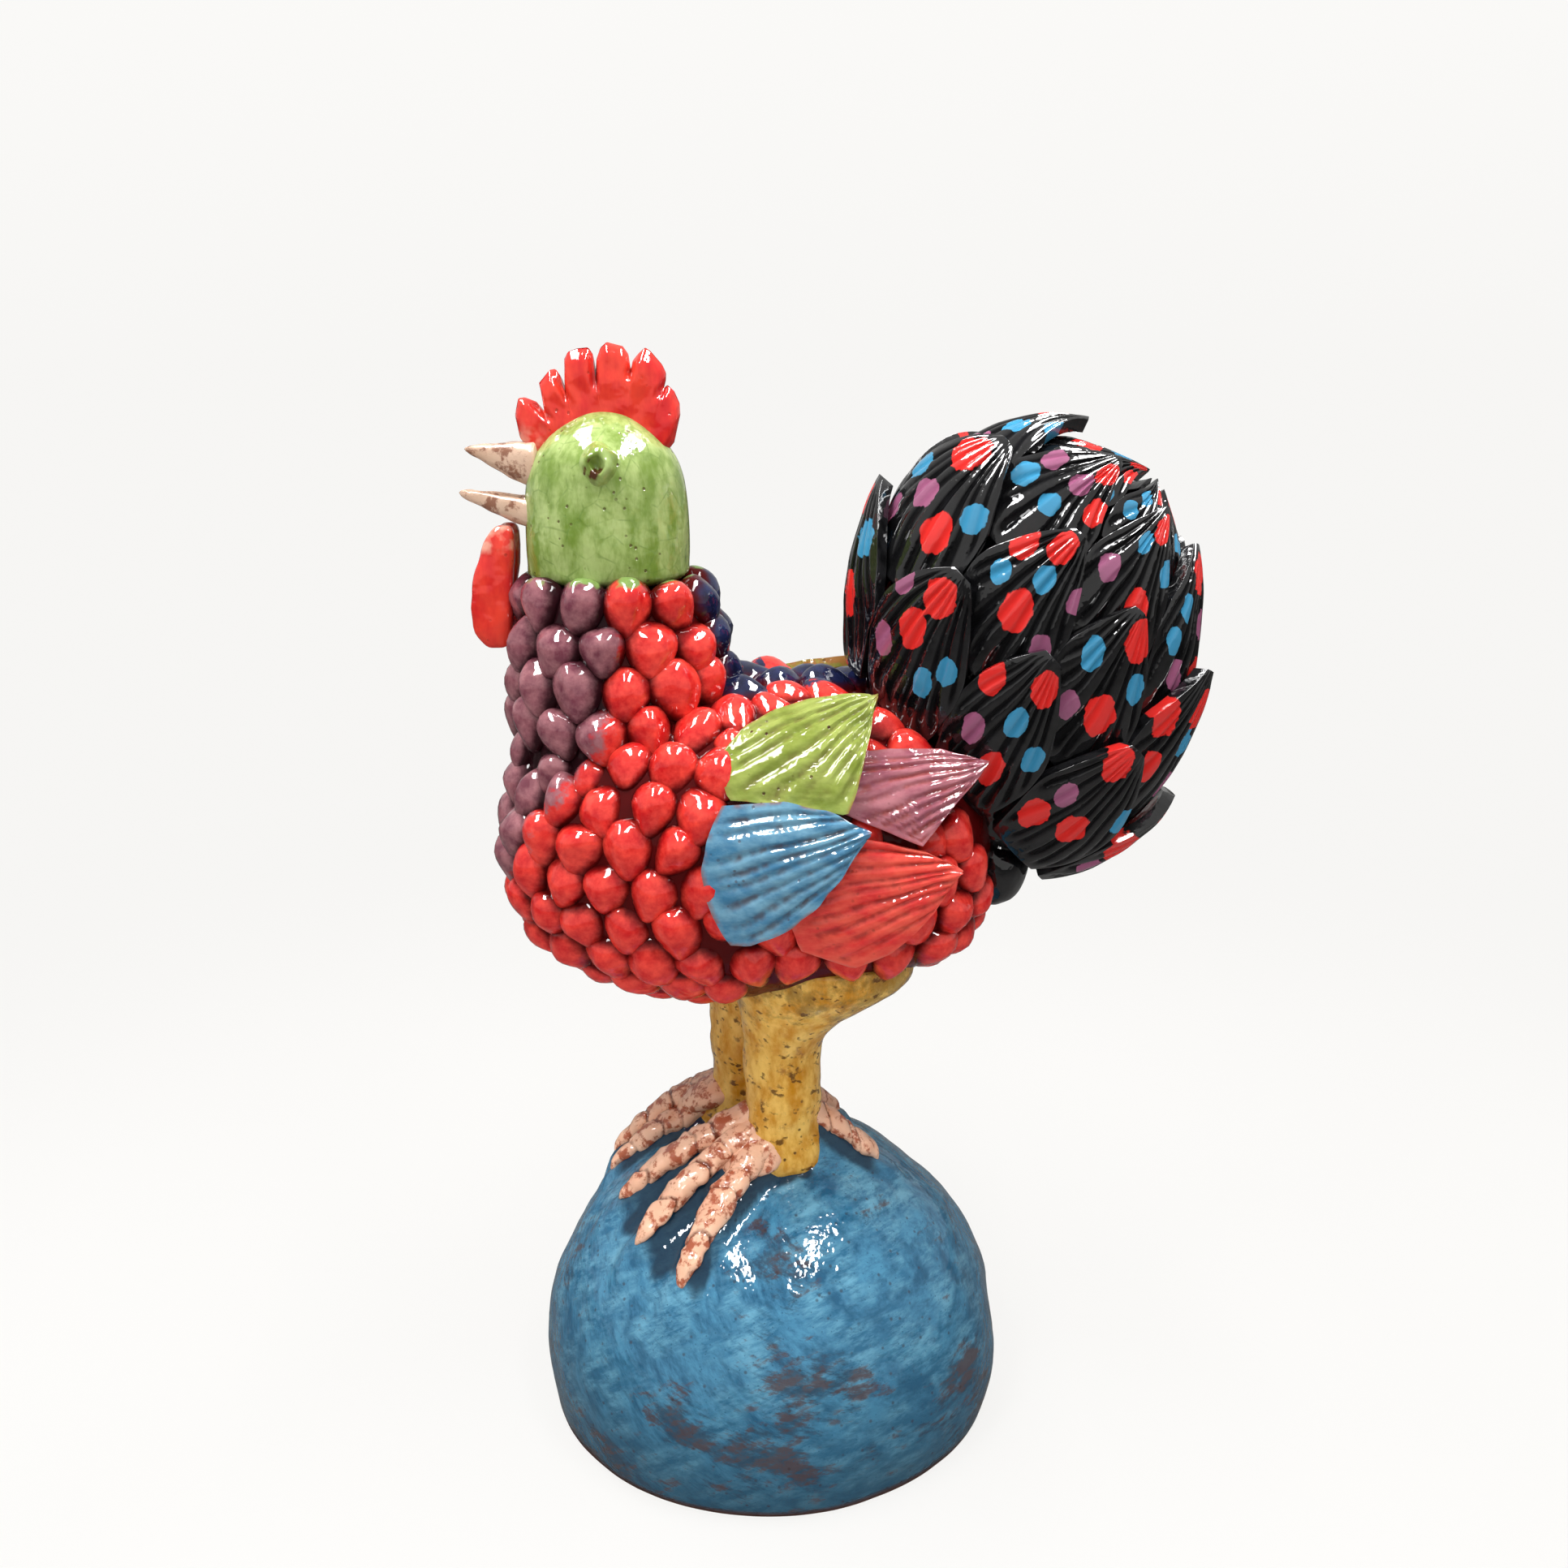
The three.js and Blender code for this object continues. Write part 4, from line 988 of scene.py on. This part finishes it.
# %% Pellet shapes
def pellet_skin(owner):
    bm = cores[owner]
    height, mauve, navy = [mark(bm, name) for name in ("height", "mauve", "navy")]
    for v in bm.verts:
        # The skin between the pellets gets the lowest height, so the glaze gives it the painted shade of
        # the gaps
        v[height], v[mauve], v[navy] = -0.5, mauve_field(v.co), navy_field(v.co)
    for number, spot in enumerate(pellets):
        if spot["owner"] != owner:
            continue
        at, out = spot["at"], spot["out"]
        chance = random.Random(number * 13 + 5)
        flow = Matrix.Rotation(chance.gauss(0, 0.26), 3, out) @ spot["flow"]
        across = flow.cross(out)
        size = chance.uniform(0.93, 1.1) * spot["size"]
        plump = chance.uniform(0.92, 1.1)
        shift = flow * chance.uniform(-0.6, 0.6) + across * chance.uniform(-0.6, 0.6)
        tall = pellet_rise * size * (1 - 0.5 * soft_step(-0.5, -0.95, out.z))
        flats = []
        for _ in range(4):
            way = Vector([chance.uniform(*ends) for ends in ((-0.9, 0.7), (-0.9, 0.9), (0.35, 1))])
            flats.append((way.normalized(), chance.uniform(0.58, 0.82)))
        for v in ball(bm, 8, 6):
            drop = Vector((-v.co.z, v.co.x, v.co.y))
            drop *= sum(abs(c) ** pellet_fullness for c in drop) ** (-1 / pellet_fullness)
            for way, reach in flats:
                drop -= way * max(0, drop.dot(way) - reach) * 0.8
            along, side, up = drop
            foot = soft_step(-0.3, 1.0, along)
            slim = (1 - 0.36 * foot) * (1.5 - 0.5 * soft_step(-0.1, 0.42, up))
            p = at + shift + flow * (along + 0.1 * foot) * pellet_length / 2 * size
            p += across * side * slim * pellet_width / 2 * size * plump
            v.co = p + out * (up * tall * (1 - 0.45 * foot) + 0.4)
            v[height] = max(0, up * (1 - 0.4 * foot))
            v[mauve] = 0.65 * mauve_field(at) + 0.35 * mauve_field(v.co)
            v[navy] = 0.65 * navy_field(at) + 0.35 * navy_field(v.co)
    return bm


def rounded(piece, levels):
    rounding = piece.modifiers.new("rounding", "SUBSURF")
    rounding.levels = rounding.render_levels = levels


# %% [markdown]
# The pellet glaze is the most varied one: red over most of the bird, mauve on the breast, navy
# down the back, with some pellets in two colours. Low between the pellets and up their lower
# flanks it turns dark red-brown, which the height attribute drives: partly glaze gathered there and
# partly painted shade. It mirrors less there. The green of the head ran over the top of the
# collar. It is the thickest glass of all, with an IOR of 1.62.

# %% Pellet glaze
def pellet_glaze():
    stuff = bpy.data.materials.new("red, mauve and navy pellet glaze")
    node, shader, place = opened(stuff)
    cloud = node("TexNoise", {"Vector": place, "Scale": every(3.5), "Detail": 4, "Roughness": 0.6})
    share = node("MapRange", {0: cloud, 1: 0.35, 2: 0.68})
    pairs = ("#c81b1d", "#ef483b"), ("#703846", "#a46c72"), ("#10142e", "#232a52")
    coat, mauve, navy = [node("Mix", {0: share, 6: ink(a), 7: ink(b)}, **colours) for a, b in pairs]
    edge = node("MapRange", {0: cloud, 3: -0.35, 4: 0.35})
    reach = {}
    for field, paint, soft in ("mauve", mauve, 0.08), ("navy", navy, 0.06):
        part = node("Attribute", out="Fac", attribute_name=field)
        part = node("Math", {0: part, 1: edge}, operation="ADD")
        reach[field] = node("MapRange", {0: part, 1: -soft, 2: soft}, **softly)
        coat = node("Mix", {0: reach[field], 6: coat, 7: paint}, **colours)
    # Painted shade and gathered glaze: dark red-brown low on each pellet and in the gaps between them
    level = node("Attribute", out="Fac", attribute_name="height")
    depth = node("MapRange", {0: cloud, 3: -0.15, 4: 0.15})
    level = node("Math", {0: level, 1: depth}, operation="ADD")
    deep = node("MapRange", {0: level, 1: 0.05, 2: 0.45, 3: 1, 4: 0}, **softly)
    dark = node("Mix", {0: reach["mauve"], 6: ink("#4c090a"), 7: ink("#2a1016")}, **colours)
    up = node("SeparateXYZ", {0: place}, out="Z")
    run = node("TexNoise", {"Vector": place, "Scale": every(5), "Detail": 2})
    run = node("MapRange", {0: run, 3: -0.004, 4: 0.004})
    up = node("Math", {0: up, 1: run}, operation="ADD")
    drip = node("MapRange", {0: up, 1: 0.2068, 2: 0.2078}, **softly)
    for share, paint in (deep, dark), (drip, ink("#728c4a")):
        coat = node("Mix", {0: share, 6: coat, 7: paint}, **colours)
    ripple = node("TexNoise", {"Vector": place, "Scale": every(3), "Detail": 1})
    bump = node("Bump", {"Height": ripple, "Strength": 0.5, "Distance": 0.5 * mm})
    shine = node("MapRange", {0: deep, 3: 0.5, 4: 0.12})
    fill(shader, {"Base Color": coat, "Normal": bump, "Roughness": 0.05, "IOR": 1.62,
                  "Specular IOR Level": shine})
    return stuff


skin_glaze = pellet_glaze()
for owner in cores:
    skin = pellet_skin(owner)
    rounded(finished(skin, f"{owner}_pellets", skin_glaze, "pellet_red_glaze", owner), 1)

# %% [markdown]
# ## Head
# The head is a thimble of clay set into the collar. A line of points spun around gives it, and
# gentle lumps keep it from looking turned on a lathe.

# %% Head
head_x = -35.2
head_height = 37
head_radius = 18.6
head_flatness = 0.93
head_knots = [(0, 0.97), (0.08, 0.99), (0.2, 1.0), (0.4, 0.99), (0.55, 0.96), (0.66, 0.91),
              (0.75, 0.83), (0.83, 0.71), (0.9, 0.55), (0.95, 0.39), (0.985, 0.2), (1, 0)]
head_middle_z = neck_top + 14
eye_z = neck_top + 0.7 * head_height
bm = spun([(0, 0)] + [(r * head_radius, t * head_height) for t, r in head_knots], 48)
bmesh.ops.subdivide_edges(bm, edges=bm.edges, cuts=1, use_grid_fill=True, smooth=0.6)
bmesh.ops.scale(bm, verts=bm.verts, vec=(1, head_flatness, 1))
bmesh.ops.translate(bm, verts=bm.verts, vec=(head_x, 0, neck_top))
for v in bm.verts:
    out = (v.co - Vector((head_x, 0, head_middle_z))).normalized()
    eye_gap = hypot(v.co.x - head_x, v.co.z - eye_z)
    mound = 1.1 * exp(-(eye_gap / 6) ** 2) if abs(v.co.y) > 8 else 0
    v.co += out * (mound + dented(v.co, (0.55, 11, 9), (0.22, 4.5, 10)))
rounded(finished(bm, "head_thimble", green_glaze, "head_green_glaze", "head"), 1)

# %% [markdown]
# The eyes are small cones of clay with a dimple. They are spun as the head is, made a little
# longer than wide, and turned to look sideways. The glaze is brown in the dimple.

# %% Eyes
eye_radius = 3.3
eye_rise = 4.6
eye_knots = [(0, -2), (1.5, -2), (1.3, 0), (1.05, 0.3), (0.92, 0.6), (0.8, 0.85), (0.62, 1.0),
             (0.42, 0.94), (0.3, 0.7), (0, 0.58)]
eye_glaze = glaze("green glaze with a brown hollow", "#7a9240", "#a8bd76", line="#55301a", pits=0.9)
sides = {"left": -1, "right": 1}
for side, way in sides.items():
    bm = spun([(r * eye_radius, h * eye_rise) for r, h in eye_knots], 32)
    hollow = mark(bm, "line")
    for v in bm.verts:
        v.co.y *= 1.28
        if v.co.z > 0:
            r = hypot(v.co.x + 0.9, v.co.y - way * 1.6) / eye_radius
            v[hollow] = 4 - 4 * soft_step(0.35, 0.75, r + 0.2 * lumps(v.co, 1.5, 12))
        v.co += Vector((v.co.x, v.co.y, 0)).normalized() * lumps(v.co, 2.6, 11)
        v.co.z -= 0.3 * v[hollow]
    turn = Matrix.Rotation(radians(way * -78), 3, "X")
    bmesh.ops.rotate(bm, verts=bm.verts, cent=(0, 0, 0), matrix=turn)
    out = head_radius * head_flatness * 0.86
    bmesh.ops.translate(bm, verts=bm.verts, vec=(head_x + 0.4, way * out, eye_z))
    rounded(finished(bm, f"{side}_eye_nub", eye_glaze, "head_green_glaze", f"{side}_eye"), 2)

# %% [markdown]
# ## Comb
# The comb is a slab about 7 mm thick that stands on the crown, cut along its top into blunt teeth
# of uneven width. A grid is laid between a line through the head and the toothed outline, pulled
# to a slab, and thinned towards the rim so that it is round there. Each cut runs down the side
# of the slab as a groove, and the front foot was left pale where the red was brushed thin.

# %% Comb slab
comb_half = 3.3
crown = Vector((head_x, neck_top + head_height - 12))
comb_rim = [(-51, 233.5), (-54, 237.5), (-54.8, 242.2), (-53.8, 245.8), (-52.4, 246),
            (-49.8, 245), (-48.2, 242.8), (-48.4, 245.2), (-49, 249), (-46.6, 251.8),
            (-45.3, 252), (-44.3, 250.6), (-43.5, 247.4), (-43.4, 250.8), (-43.3, 254.1),
            (-42.4, 255.6), (-40.3, 256.3), (-37.9, 256.5), (-36.9, 255), (-36.65, 250),
            (-36.2, 254), (-35.2, 256.4), (-33.8, 257.6), (-30.3, 256.7), (-29.1, 255),
            (-28.7, 251.8), (-28.2, 253.6), (-26.8, 255.2), (-25.4, 256.4), (-24.2, 255.6),
            (-21.7, 252.7), (-20.9, 250.9), (-21, 249.4), (-21.5, 247.7), (-20.7, 248.4),
            (-19.2, 247), (-18.1, 244.4), (-18, 242), (-19.5, 236)]
comb_base = [(-48, 232), (-42, 236), (-35, 238), (-27, 236), (-22, 233)]
comb_cuts = [(-48.2, 242.8), (-43.5, 247.4), (-36.65, 250), (-28.7, 251.8), (-21.5, 247.7)]


def pull_slab(bm, steps):
    """Add a grid, pull it up to a slab, and return the points of its top."""
    bmesh.ops.create_grid(bm, x_segments=steps[0], y_segments=steps[1], size=1)
    lid = bmesh.ops.extrude_face_region(bm, geom=bm.faces[:])["geom"]
    return {v for v in lid if isinstance(v, bmesh.types.BMVert)}


def comb():
    bm = bmesh.new()
    pale, line = mark(bm, "rim"), mark(bm, "line")
    near = pull_slab(bm, (220, 16))
    for v in bm.verts:
        u, w = (v.co.x + 1) / 2, (v.co.y + 1) / 2
        spot = on_line(comb_base, u).lerp(on_line(comb_rim, u), w)
        groove = 0
        for notch in comb_cuts:
            way = (Vector(notch) - crown).normalized()
            gap = abs((spot - crown).cross(way))
            inner = (Vector(notch) - spot).dot(way)
            shallow = soft_step(0.5, 3.4, inner)
            groove = max(groove, (1 - soft_step(0.2, 1.3, gap)) * (1 - shallow))
        end = soft_step(-0.02, 0.05, min(u, 1 - u))
        half = comb_half * sqrt(max(0, 1 - w ** 7)) * sqrt(end)
        p = Vector((spot.x, 0, spot.y))
        half = half * (1 - 0.45 * groove) + 0.6 * lumps(p, 4, 14)
        v[pale] = soft_step(242, 235, p.z) * soft_step(-45, -52, p.x)
        v[line] = 0.7 * groove
        v.co = p + Vector((0, (-half if v in near else half) + 0.8 * lumps(p, 11, 13), 0))
    return bm


def worn_edge(piece, width, segments):
    edge = piece.modifiers.new("worn edge", "BEVEL")
    edge.width = width * mm
    edge.segments = segments
    edge.limit_method = "ANGLE"
    edge.angle_limit = radians(50)


worn_edge(finished(comb(), "comb_slab", red_glaze, "comb_red_glaze", "comb"), 0.5, 2)

# %% [markdown]
# ## Beak and wattles
# The open beak is two fingers of bare clay: the upper one is a wedge with a flat pale top, the
# lower one a little trough. Both are balls drawn out to a point with a squared section. The
# wattles are two flat drops that hang from the chin.

# %% Beak halves
mouth_z = 226
beak_root = head_x - head_radius * 0.75
upper_tip = Vector((-66.6, 0, 235.2))
lower_tip = Vector((-68.4, 0, 225.4))
beak_half_width = 6.6


def squared(c):
    return math.copysign(abs(c) ** 0.62, c)


def beak(upper):
    tip = upper_tip if upper else lower_tip

    def rule(co):
        t, a = roll_place(co)
        root = min(1, sin(min(t, 0.5) * pi) * 6)
        taper = 1 - 0.86 * t ** 1.15
        blunt = sqrt(max(0, 1 - max(0, (t - 0.86) / 0.14) ** 2))
        size = root * taper * blunt
        side, up = squared(cos(a)) * beak_half_width * size, squared(sin(a))
        if upper:
            low = mouth_z - 0.4 + (tip.z - mouth_z - 0.4) * t ** 1.2
            high = mouth_z + 10.8 - 1.2 * t
            swell = max(size, 0.12 * root) / max(0.2, taper)
            z = min(high, (low + high) / 2 + up * (high - low) / 2 * swell)
        else:
            low, high = mouth_z - 10.4 + 8.8 * t, mouth_z - 1.4 + 1.6 * t
            z = (low + high) / 2 + up * (high - low) / 2 * root * blunt
            inner = max(0, 1 - (side / (5.2 * size + 0.01)) ** 2) if up > 0 else 0
            z -= 3.2 * inner * soft_step(0.1, 0.3, t) * (1 - soft_step(0.8, 0.98, t))
        p = Vector((beak_root + t * (tip.x - beak_root), side, z))
        return p + Vector((0, 0.3, 0.3)) * lumps(p, 3.5, 15)

    return pressed_ball(32, 40, rule)


beak_clay = bare_clay("bare cream clay with brown wash", "#d8bda7", "#c0977c", "#80503c", 3.6, 0.13)
finished(beak(True), "upper_beak_wedge", beak_clay, "beak_bare_clay", "upper_beak")
finished(beak(False), "lower_beak_trough", beak_clay, "beak_bare_clay", "lower_beak")

# %% Wattles
wattle_x = -58.2
wattle_top, wattle_bottom = 218, 190.5


def wattle(way):
    bm = bmesh.new()
    pale = mark(bm, "rim")
    for v in ball(bm, 32, 32):
        co = v.co * sum(abs(c) ** 3 for c in v.co) ** (-1 / 3)
        t = (1 - co.z) / 2
        x = wattle_x - 3.6 * sin(t * 2.2) + 4.6 * (0.86 + 0.22 * t) * co.x
        y = way * (3.3 + 0.8 * t) + 2.7 * math.copysign(abs(co.y) ** 0.8, co.y)
        p = Vector((x, y, wattle_top - t * (wattle_top - wattle_bottom)))
        v.co = p + co * 0.4 * lumps(p, 4, 16)
        v[pale] = 1 - soft_step(0.15, 0.22, t + 0.05 * lumps(p, 3, 17))
    return bm


for side, way in sides.items():
    finished(wattle(way), f"{side}_wattle_drop", red_glaze, "comb_red_glaze", f"{side}_wattle")

# %% [markdown]
# ## Leaf slabs
# Wing feathers and tail feathers are the same thing: a slab of clay cut to a leaf, scored with
# lines that run together at the tip, and laid over what is below. A grid gives the top, pulling
# its faces up gives the thickness, and a rule bends it on to the flank or on to the tail. The
# lines are real grooves in the top, and the attribute named line lets the glaze follow them.

# %% Leaf slab
leaf_lines = 9


def leaf_slab(flat, pivot, lay, seed, steps):
    """A scored slab. flat(u, w) draws the leaf in a plane, lay puts its points in place."""
    bm = bmesh.new()
    line, rim = mark(bm, "line"), mark(bm, "rim")
    own = bm.verts.layers.float_vector.new("own")
    lid = pull_slab(bm, steps)
    chance = random.Random(seed)
    shift = [chance.uniform(-0.2, 0.2) for _ in range(leaf_lines + 2)]
    deep = [chance.uniform(0.5, 1) for _ in range(leaf_lines + 2)]
    turns = {}
    for v in bm.verts:
        spot = flat((v.co.x + 1) / 2, v.co.y)
        v[own] = spot.to_3d()
        turns[v] = math.atan2(spot.y - pivot.y, pivot.x - spot.x)
    low, high = min(turns.values()), max(turns.values())
    for v in bm.verts:
        u, w = (v.co.x + 1) / 2, v.co.y
        phase = (turns[v] - low) / (high - low) * leaf_lines
        phase += 0.3 * lumps(Vector((u * 3, w * 2, seed)), 1)
        near = max(0, min(leaf_lines, round(phase)))
        cut = deep[near] * (1 - soft_step(0.06, 0.34, abs(phase - near - shift[near])))
        cut *= soft_step(0.03, 0.14, u) * (1 - soft_step(0.86, 0.97, u))
        cut *= 1 - soft_step(0.86, 0.97, abs(w))
        top = v in lid
        v[line] = cut if top else 0
        v[rim] = max(soft_step(0.94, 1, abs(w)), soft_step(0.95, 1, u), soft_step(0.03, 0, u))
        v.co = lay(v[own].to_2d(), w, u, top, cut)
    return bm


# %% [markdown]
# ## Wings
# Four feathers lie on each flank, all with their tips to the tail: blue and red below, green and
# mauve above. They are bent over the side of the torso, and each stands off a little more
# towards its tip, where it lies on the next one.

# %% Wing feathers
feather_thickness = 3.4
feather_gap = 0.3


def wing_surface(x, h):
    e = torso_fullness
    a = h / wing_middle
    k = max(0.05, 1 - (abs(x - torso_middle.x) / (torso_half.x * 1.35)) ** e)
    y, z = abs(cos(a)) / torso_half.y, abs(sin(a)) / torso_half.z
    r = k ** (1 / e) / (y ** e + z ** e) ** (1 / e)
    return Vector((x, r * cos(a), torso_middle.z + r * sin(a)))


def wing_normal(x, h):
    along = wing_surface(x + 0.5, h) - wing_surface(x - 0.5, h)
    around = wing_surface(x, h + 0.5) - wing_surface(x, h - 0.5)
    return -along.cross(around).normalized()


def wing_feather(f, side, seed):
    tip = Vector(f["top"][-1])
    root = on_line([f["top"][0], f["bottom"][0]], 0.5)
    pivot = tip + (tip - root).normalized() * 14

    def flat(u, w):
        ragged = 0.4 * lumps(Vector((u * 9, w * 6, seed)), 1.5)
        spot = on_line(f["bottom"], u).lerp(on_line(f["top"], u), (w + 1) / 2)
        return spot + Vector((ragged - f["bow"] * (1 - w * w) * (1 - u) ** 3, ragged * w))

    def lay(spot, w, u, top, cut):
        ramp = max(0, spot.x - f["front"]) / f["over"]
        lift = feather_gap + f["stack"] + ramp * (feather_thickness + feather_gap)
        if top:
            lift += feather_thickness * (1 - 0.2 * w * w) - 0.9 * cut
            lift += 0.35 * lumps(Vector((u * 30, w * 14, seed)), 5)
        p = wing_surface(spot.x, spot.y) + wing_normal(spot.x, spot.y) * lift
        p.y *= side
        return p

    return leaf_slab(flat, pivot, lay, seed, (36, 64))


wing_glazes = {}
for colour, finish, thick, thin, line, rim, pits, shine in (
        ("blue", "sky blue brushed", "#3a7397", "#74a4bc", "#55464a", "#8f5a4c", 0.5, 0.5),
        ("green", "apple green brushed", "#707e2e", "#96a253", "#6e6a36", "#946238", 1, 0.2),
        ("red", "red scored", "#d63030", "#ea5a48", "#8c2320", "#d26555", 0.3, 0.5),
        ("mauve", "mauve brushed", "#8a4858", "#b07078", "#9a4238", "#9c5350", 0.4, 0.5)):
    wing_glazes[colour] = glaze(f"{finish} glaze", thick, thin, line=line, rim=rim,
                                streak=(8, 8, 4), pits=pits, shine=shine)
for side, way in sides.items():
    for seed, (colour, f) in enumerate(wings.items(), 3):
        feather = finished(wing_feather(f, way, seed), f"{side}_feather_{colour}",
                           wing_glazes[colour], f"wing_{colour}_glaze", f"{side}_wing_{colour}")
        worn_edge(feather, 0.9, 3)

# %% [markdown]
# ## Tail
# The tail is an upright flattened egg, shingled like an artichoke with four rows of leaf slabs
# that run up and backwards. The lift of a leaf grows with the way along the egg, so each row's
# tips cover the roots of the next row and no slab passes through another.

# %% Tail egg
tail_flow = radians(50)
flow_way = Vector((cos(tail_flow), 0, sin(tail_flow)))
ridge_way = Vector((-flow_way.z, 0, flow_way.x))


def tail_point(a, b, lift):
    ball_point = ridge_way * sin(a) * cos(b) - flow_way * cos(a)
    ball_point += Vector((0, sin(a) * sin(b), 0))
    out = Vector([c / half for c, half in zip(ball_point, tail_half)]).normalized()
    return times(ball_point, tail_half) + out * lift + tail_middle


def even_turn(share):
    """The turn around the egg after that share of its outline, which is longer than wide."""
    wide, narrow, steps = times(ridge_way, tail_half).length, tail_half.y, 720
    runs = [0]
    for i in range(steps):
        a = (i + 0.5) / steps * 2 * pi
        runs.append(runs[-1] + hypot(wide * sin(a), narrow * cos(a)))
    goal = share % 1 * runs[-1]
    i = next(k for k in range(1, steps + 1) if runs[k] >= goal)
    part = (goal - runs[i - 1]) / (runs[i] - runs[i - 1])
    return (i - 1 + part) / steps * 2 * pi + 2 * pi * math.floor(share)


print("tip of the tail:", list(tail_point(pi, 0, 0)))

# %% Tail leaf
leaf_thickness = 3.8
leaf_gap = 0.3
leaf_first, leaf_row_step, leaf_span, leaf_end = 52, 29, 46, 176
leaf_counts = (8, 8, 7, 5)
leaf_lift = leaf_thickness + 2 * leaf_gap
leaf_length = 38
leaf_half_width = 13


def leaf_half(u):
    """Half width of a tail leaf from its broad root to its blunt tip."""
    widest, root, tip = 0.42, 0.8, 0.16
    if u < widest:
        return 1 - (1 - root) * (1 - u / widest) ** 2
    return 1 - (1 - tip) * ((u - widest) / (1 - widest)) ** 1.8


def tail_leaf(row, middle, low, high, seed):
    first = leaf_first + row * leaf_row_step
    span = radians(min(leaf_span, leaf_end - first))
    chance = random.Random(seed)
    lean = chance.uniform(-0.07, 0.07)
    longer = chance.uniform(0.97, 1.06)

    def flat(u, w):
        ragged = 1 + 0.05 * lumps(Vector((u * 9, w * 6, seed)), 1.5)
        return Vector((u * leaf_length, w * leaf_half(u) * leaf_half_width * ragged))

    def lay(spot, w, u, top, cut):
        a = radians(first) + u * span * longer
        side = spot.y / leaf_half_width
        b = middle + side * (high - middle if side > 0 else middle - low) + lean * u * u
        lift = leaf_gap + u * span * leaf_lift / radians(leaf_row_step)
        lift += 0.5 * soft_step(0.6, 1, u)
        if top:
            lift += leaf_thickness * (1 - 0.2 * w * w) - 0.7 * cut
            lift += 0.25 * lumps(Vector((u * 30, w * 12, seed)), 5)
        return tail_point(a, b, lift)

    return leaf_slab(flat, Vector((leaf_length * 1.15, 0)), lay, seed, (28, 60))


# %% [markdown]
# The tail is glossy black with dabs of red, blue and mauve, a red one near the tip of each leaf
# and smaller ones further in. A dab is an oval in the leaf's own lengths, so each leaf carries
# three attributes that are positive inside its dabs, and the glaze turns them into crisp spots.
# The grooves mirror little and the ridges between them more.

# %% Dabs of colour
dab_colours = {"red": "#d42a26", "blue": "#3a88ae", "mauve": "#935474"}
wanted_dabs = ("red", "blue", "red", "mauve", "blue", "red", "mauve")
no_dab = -2


def dab_marks(bm):
    layers = {colour: mark(bm, colour + "_dab") for colour in dab_colours}
    for v in bm.verts:
        for layer in layers.values():
            v[layer] = no_dab
    return layers


def paint_dabs(bm, seed):
    chance = random.Random(seed * 7 + 1)
    dabs = []
    for k, colour in enumerate(wanted_dabs):
        size = chance.uniform(3.1, 4.0) if colour == "red" else chance.uniform(2.4, 3.0)
        for _ in range(30):
            along = (chance.uniform(0.3, 0.74) if k else 0.84) * leaf_length
            along += chance.uniform(-1.5, 1.5)
            across = chance.uniform(-0.75, 0.75) if k else chance.uniform(-0.2, 0.2)
            spot = Vector((along, across * leaf_half_width))
            if all((spot - other).length > 1.25 * (size + reach) for _, other, reach in dabs):
                dabs.append((colour, spot, size))
                break
    layers = dab_marks(bm)
    own = bm.verts.layers.float_vector["own"]
    for v in bm.verts:
        for colour, spot, size in dabs:
            away = hypot((v[own].x - spot.x) / (size * 1.25), (v[own].y - spot.y) / (size * 0.95))
            v[layers[colour]] = max(v[layers[colour]], 1 - away)


def tail_glaze():
    stuff = glaze("black brushed glaze with dabs", "#070708", "#131315", pit="#040404",
                  line="#0c0c0d", rim="#1c1c1e", streak=(5, 5, 5), pits=0.2, rough=0.09,
                  relief=0.35)
    node, shader, place = opened(stuff)
    coat = shader.inputs["Base Color"].links[0].from_socket
    ragged = node("TexNoise", {"Vector": place, "Scale": every(2.6), "Detail": 3})
    ragged = node("MapRange", {0: ragged, 3: -0.32, 4: 0.32})
    for colour, code in dab_colours.items():
        field = node("Attribute", out="Fac", attribute_name=colour + "_dab")
        field = node("Math", {0: field, 1: ragged}, operation="ADD")
        share = node("MapRange", {0: field, 1: 0, 2: 0.07}, **softly)
        coat = node("Mix", {0: share, 6: coat, 7: ink(code)}, **colours)
    groove = node("Attribute", out="Fac", attribute_name="line")
    sheen = node("MapRange", {0: groove, 1: 0.05, 2: 0.5, 3: 0.75, 4: 0.08})
    fill(shader, {"Base Color": coat, "Specular IOR Level": sheen})
    return stuff


# %% Lay the tail
pad_middle = Vector((54, 0, 138))
pad_half = Vector((9, 15, 11.5))
black_glaze = tail_glaze()
bm = bmesh.new()
for middle, half in (tail_middle, tail_half), (pad_middle, pad_half):
    shaped(ball(bm, 48, 32), lambda co: times(co, half) + middle
           + Vector((1, 1, 1)) * 0.6 * lumps(co * 20, 8, 19))
dab_marks(bm)
finished(bm, "tail_egg", black_glaze, "tail_black_glaze", "tail_core")
for row, count in enumerate(leaf_counts):
    for k in range(count):
        share = (k + (row % 2) / 2) / count
        turns = [even_turn(share + d / count) for d in (0, -0.5, 0.5)]
        bm = tail_leaf(row, *turns, seed=row * 10 + k)
        paint_dabs(bm, row * 10 + k)
        place = f"{row + 1}_{k + 1}"
        leaf = finished(bm, f"tail_leaf_{place}", black_glaze, "tail_black_glaze",
                        f"tail_feather_{place}")
        worn_edge(leaf, 0.9, 3)

# %% [markdown]
# ## Sizes
# The box of the solids and the box of what is shown are printed side by side.

# %% Print both boxes and finish
both = {"cad": [list(corner) for corner in cad_box], "visual": [list(corner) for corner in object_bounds()]}
print(both)
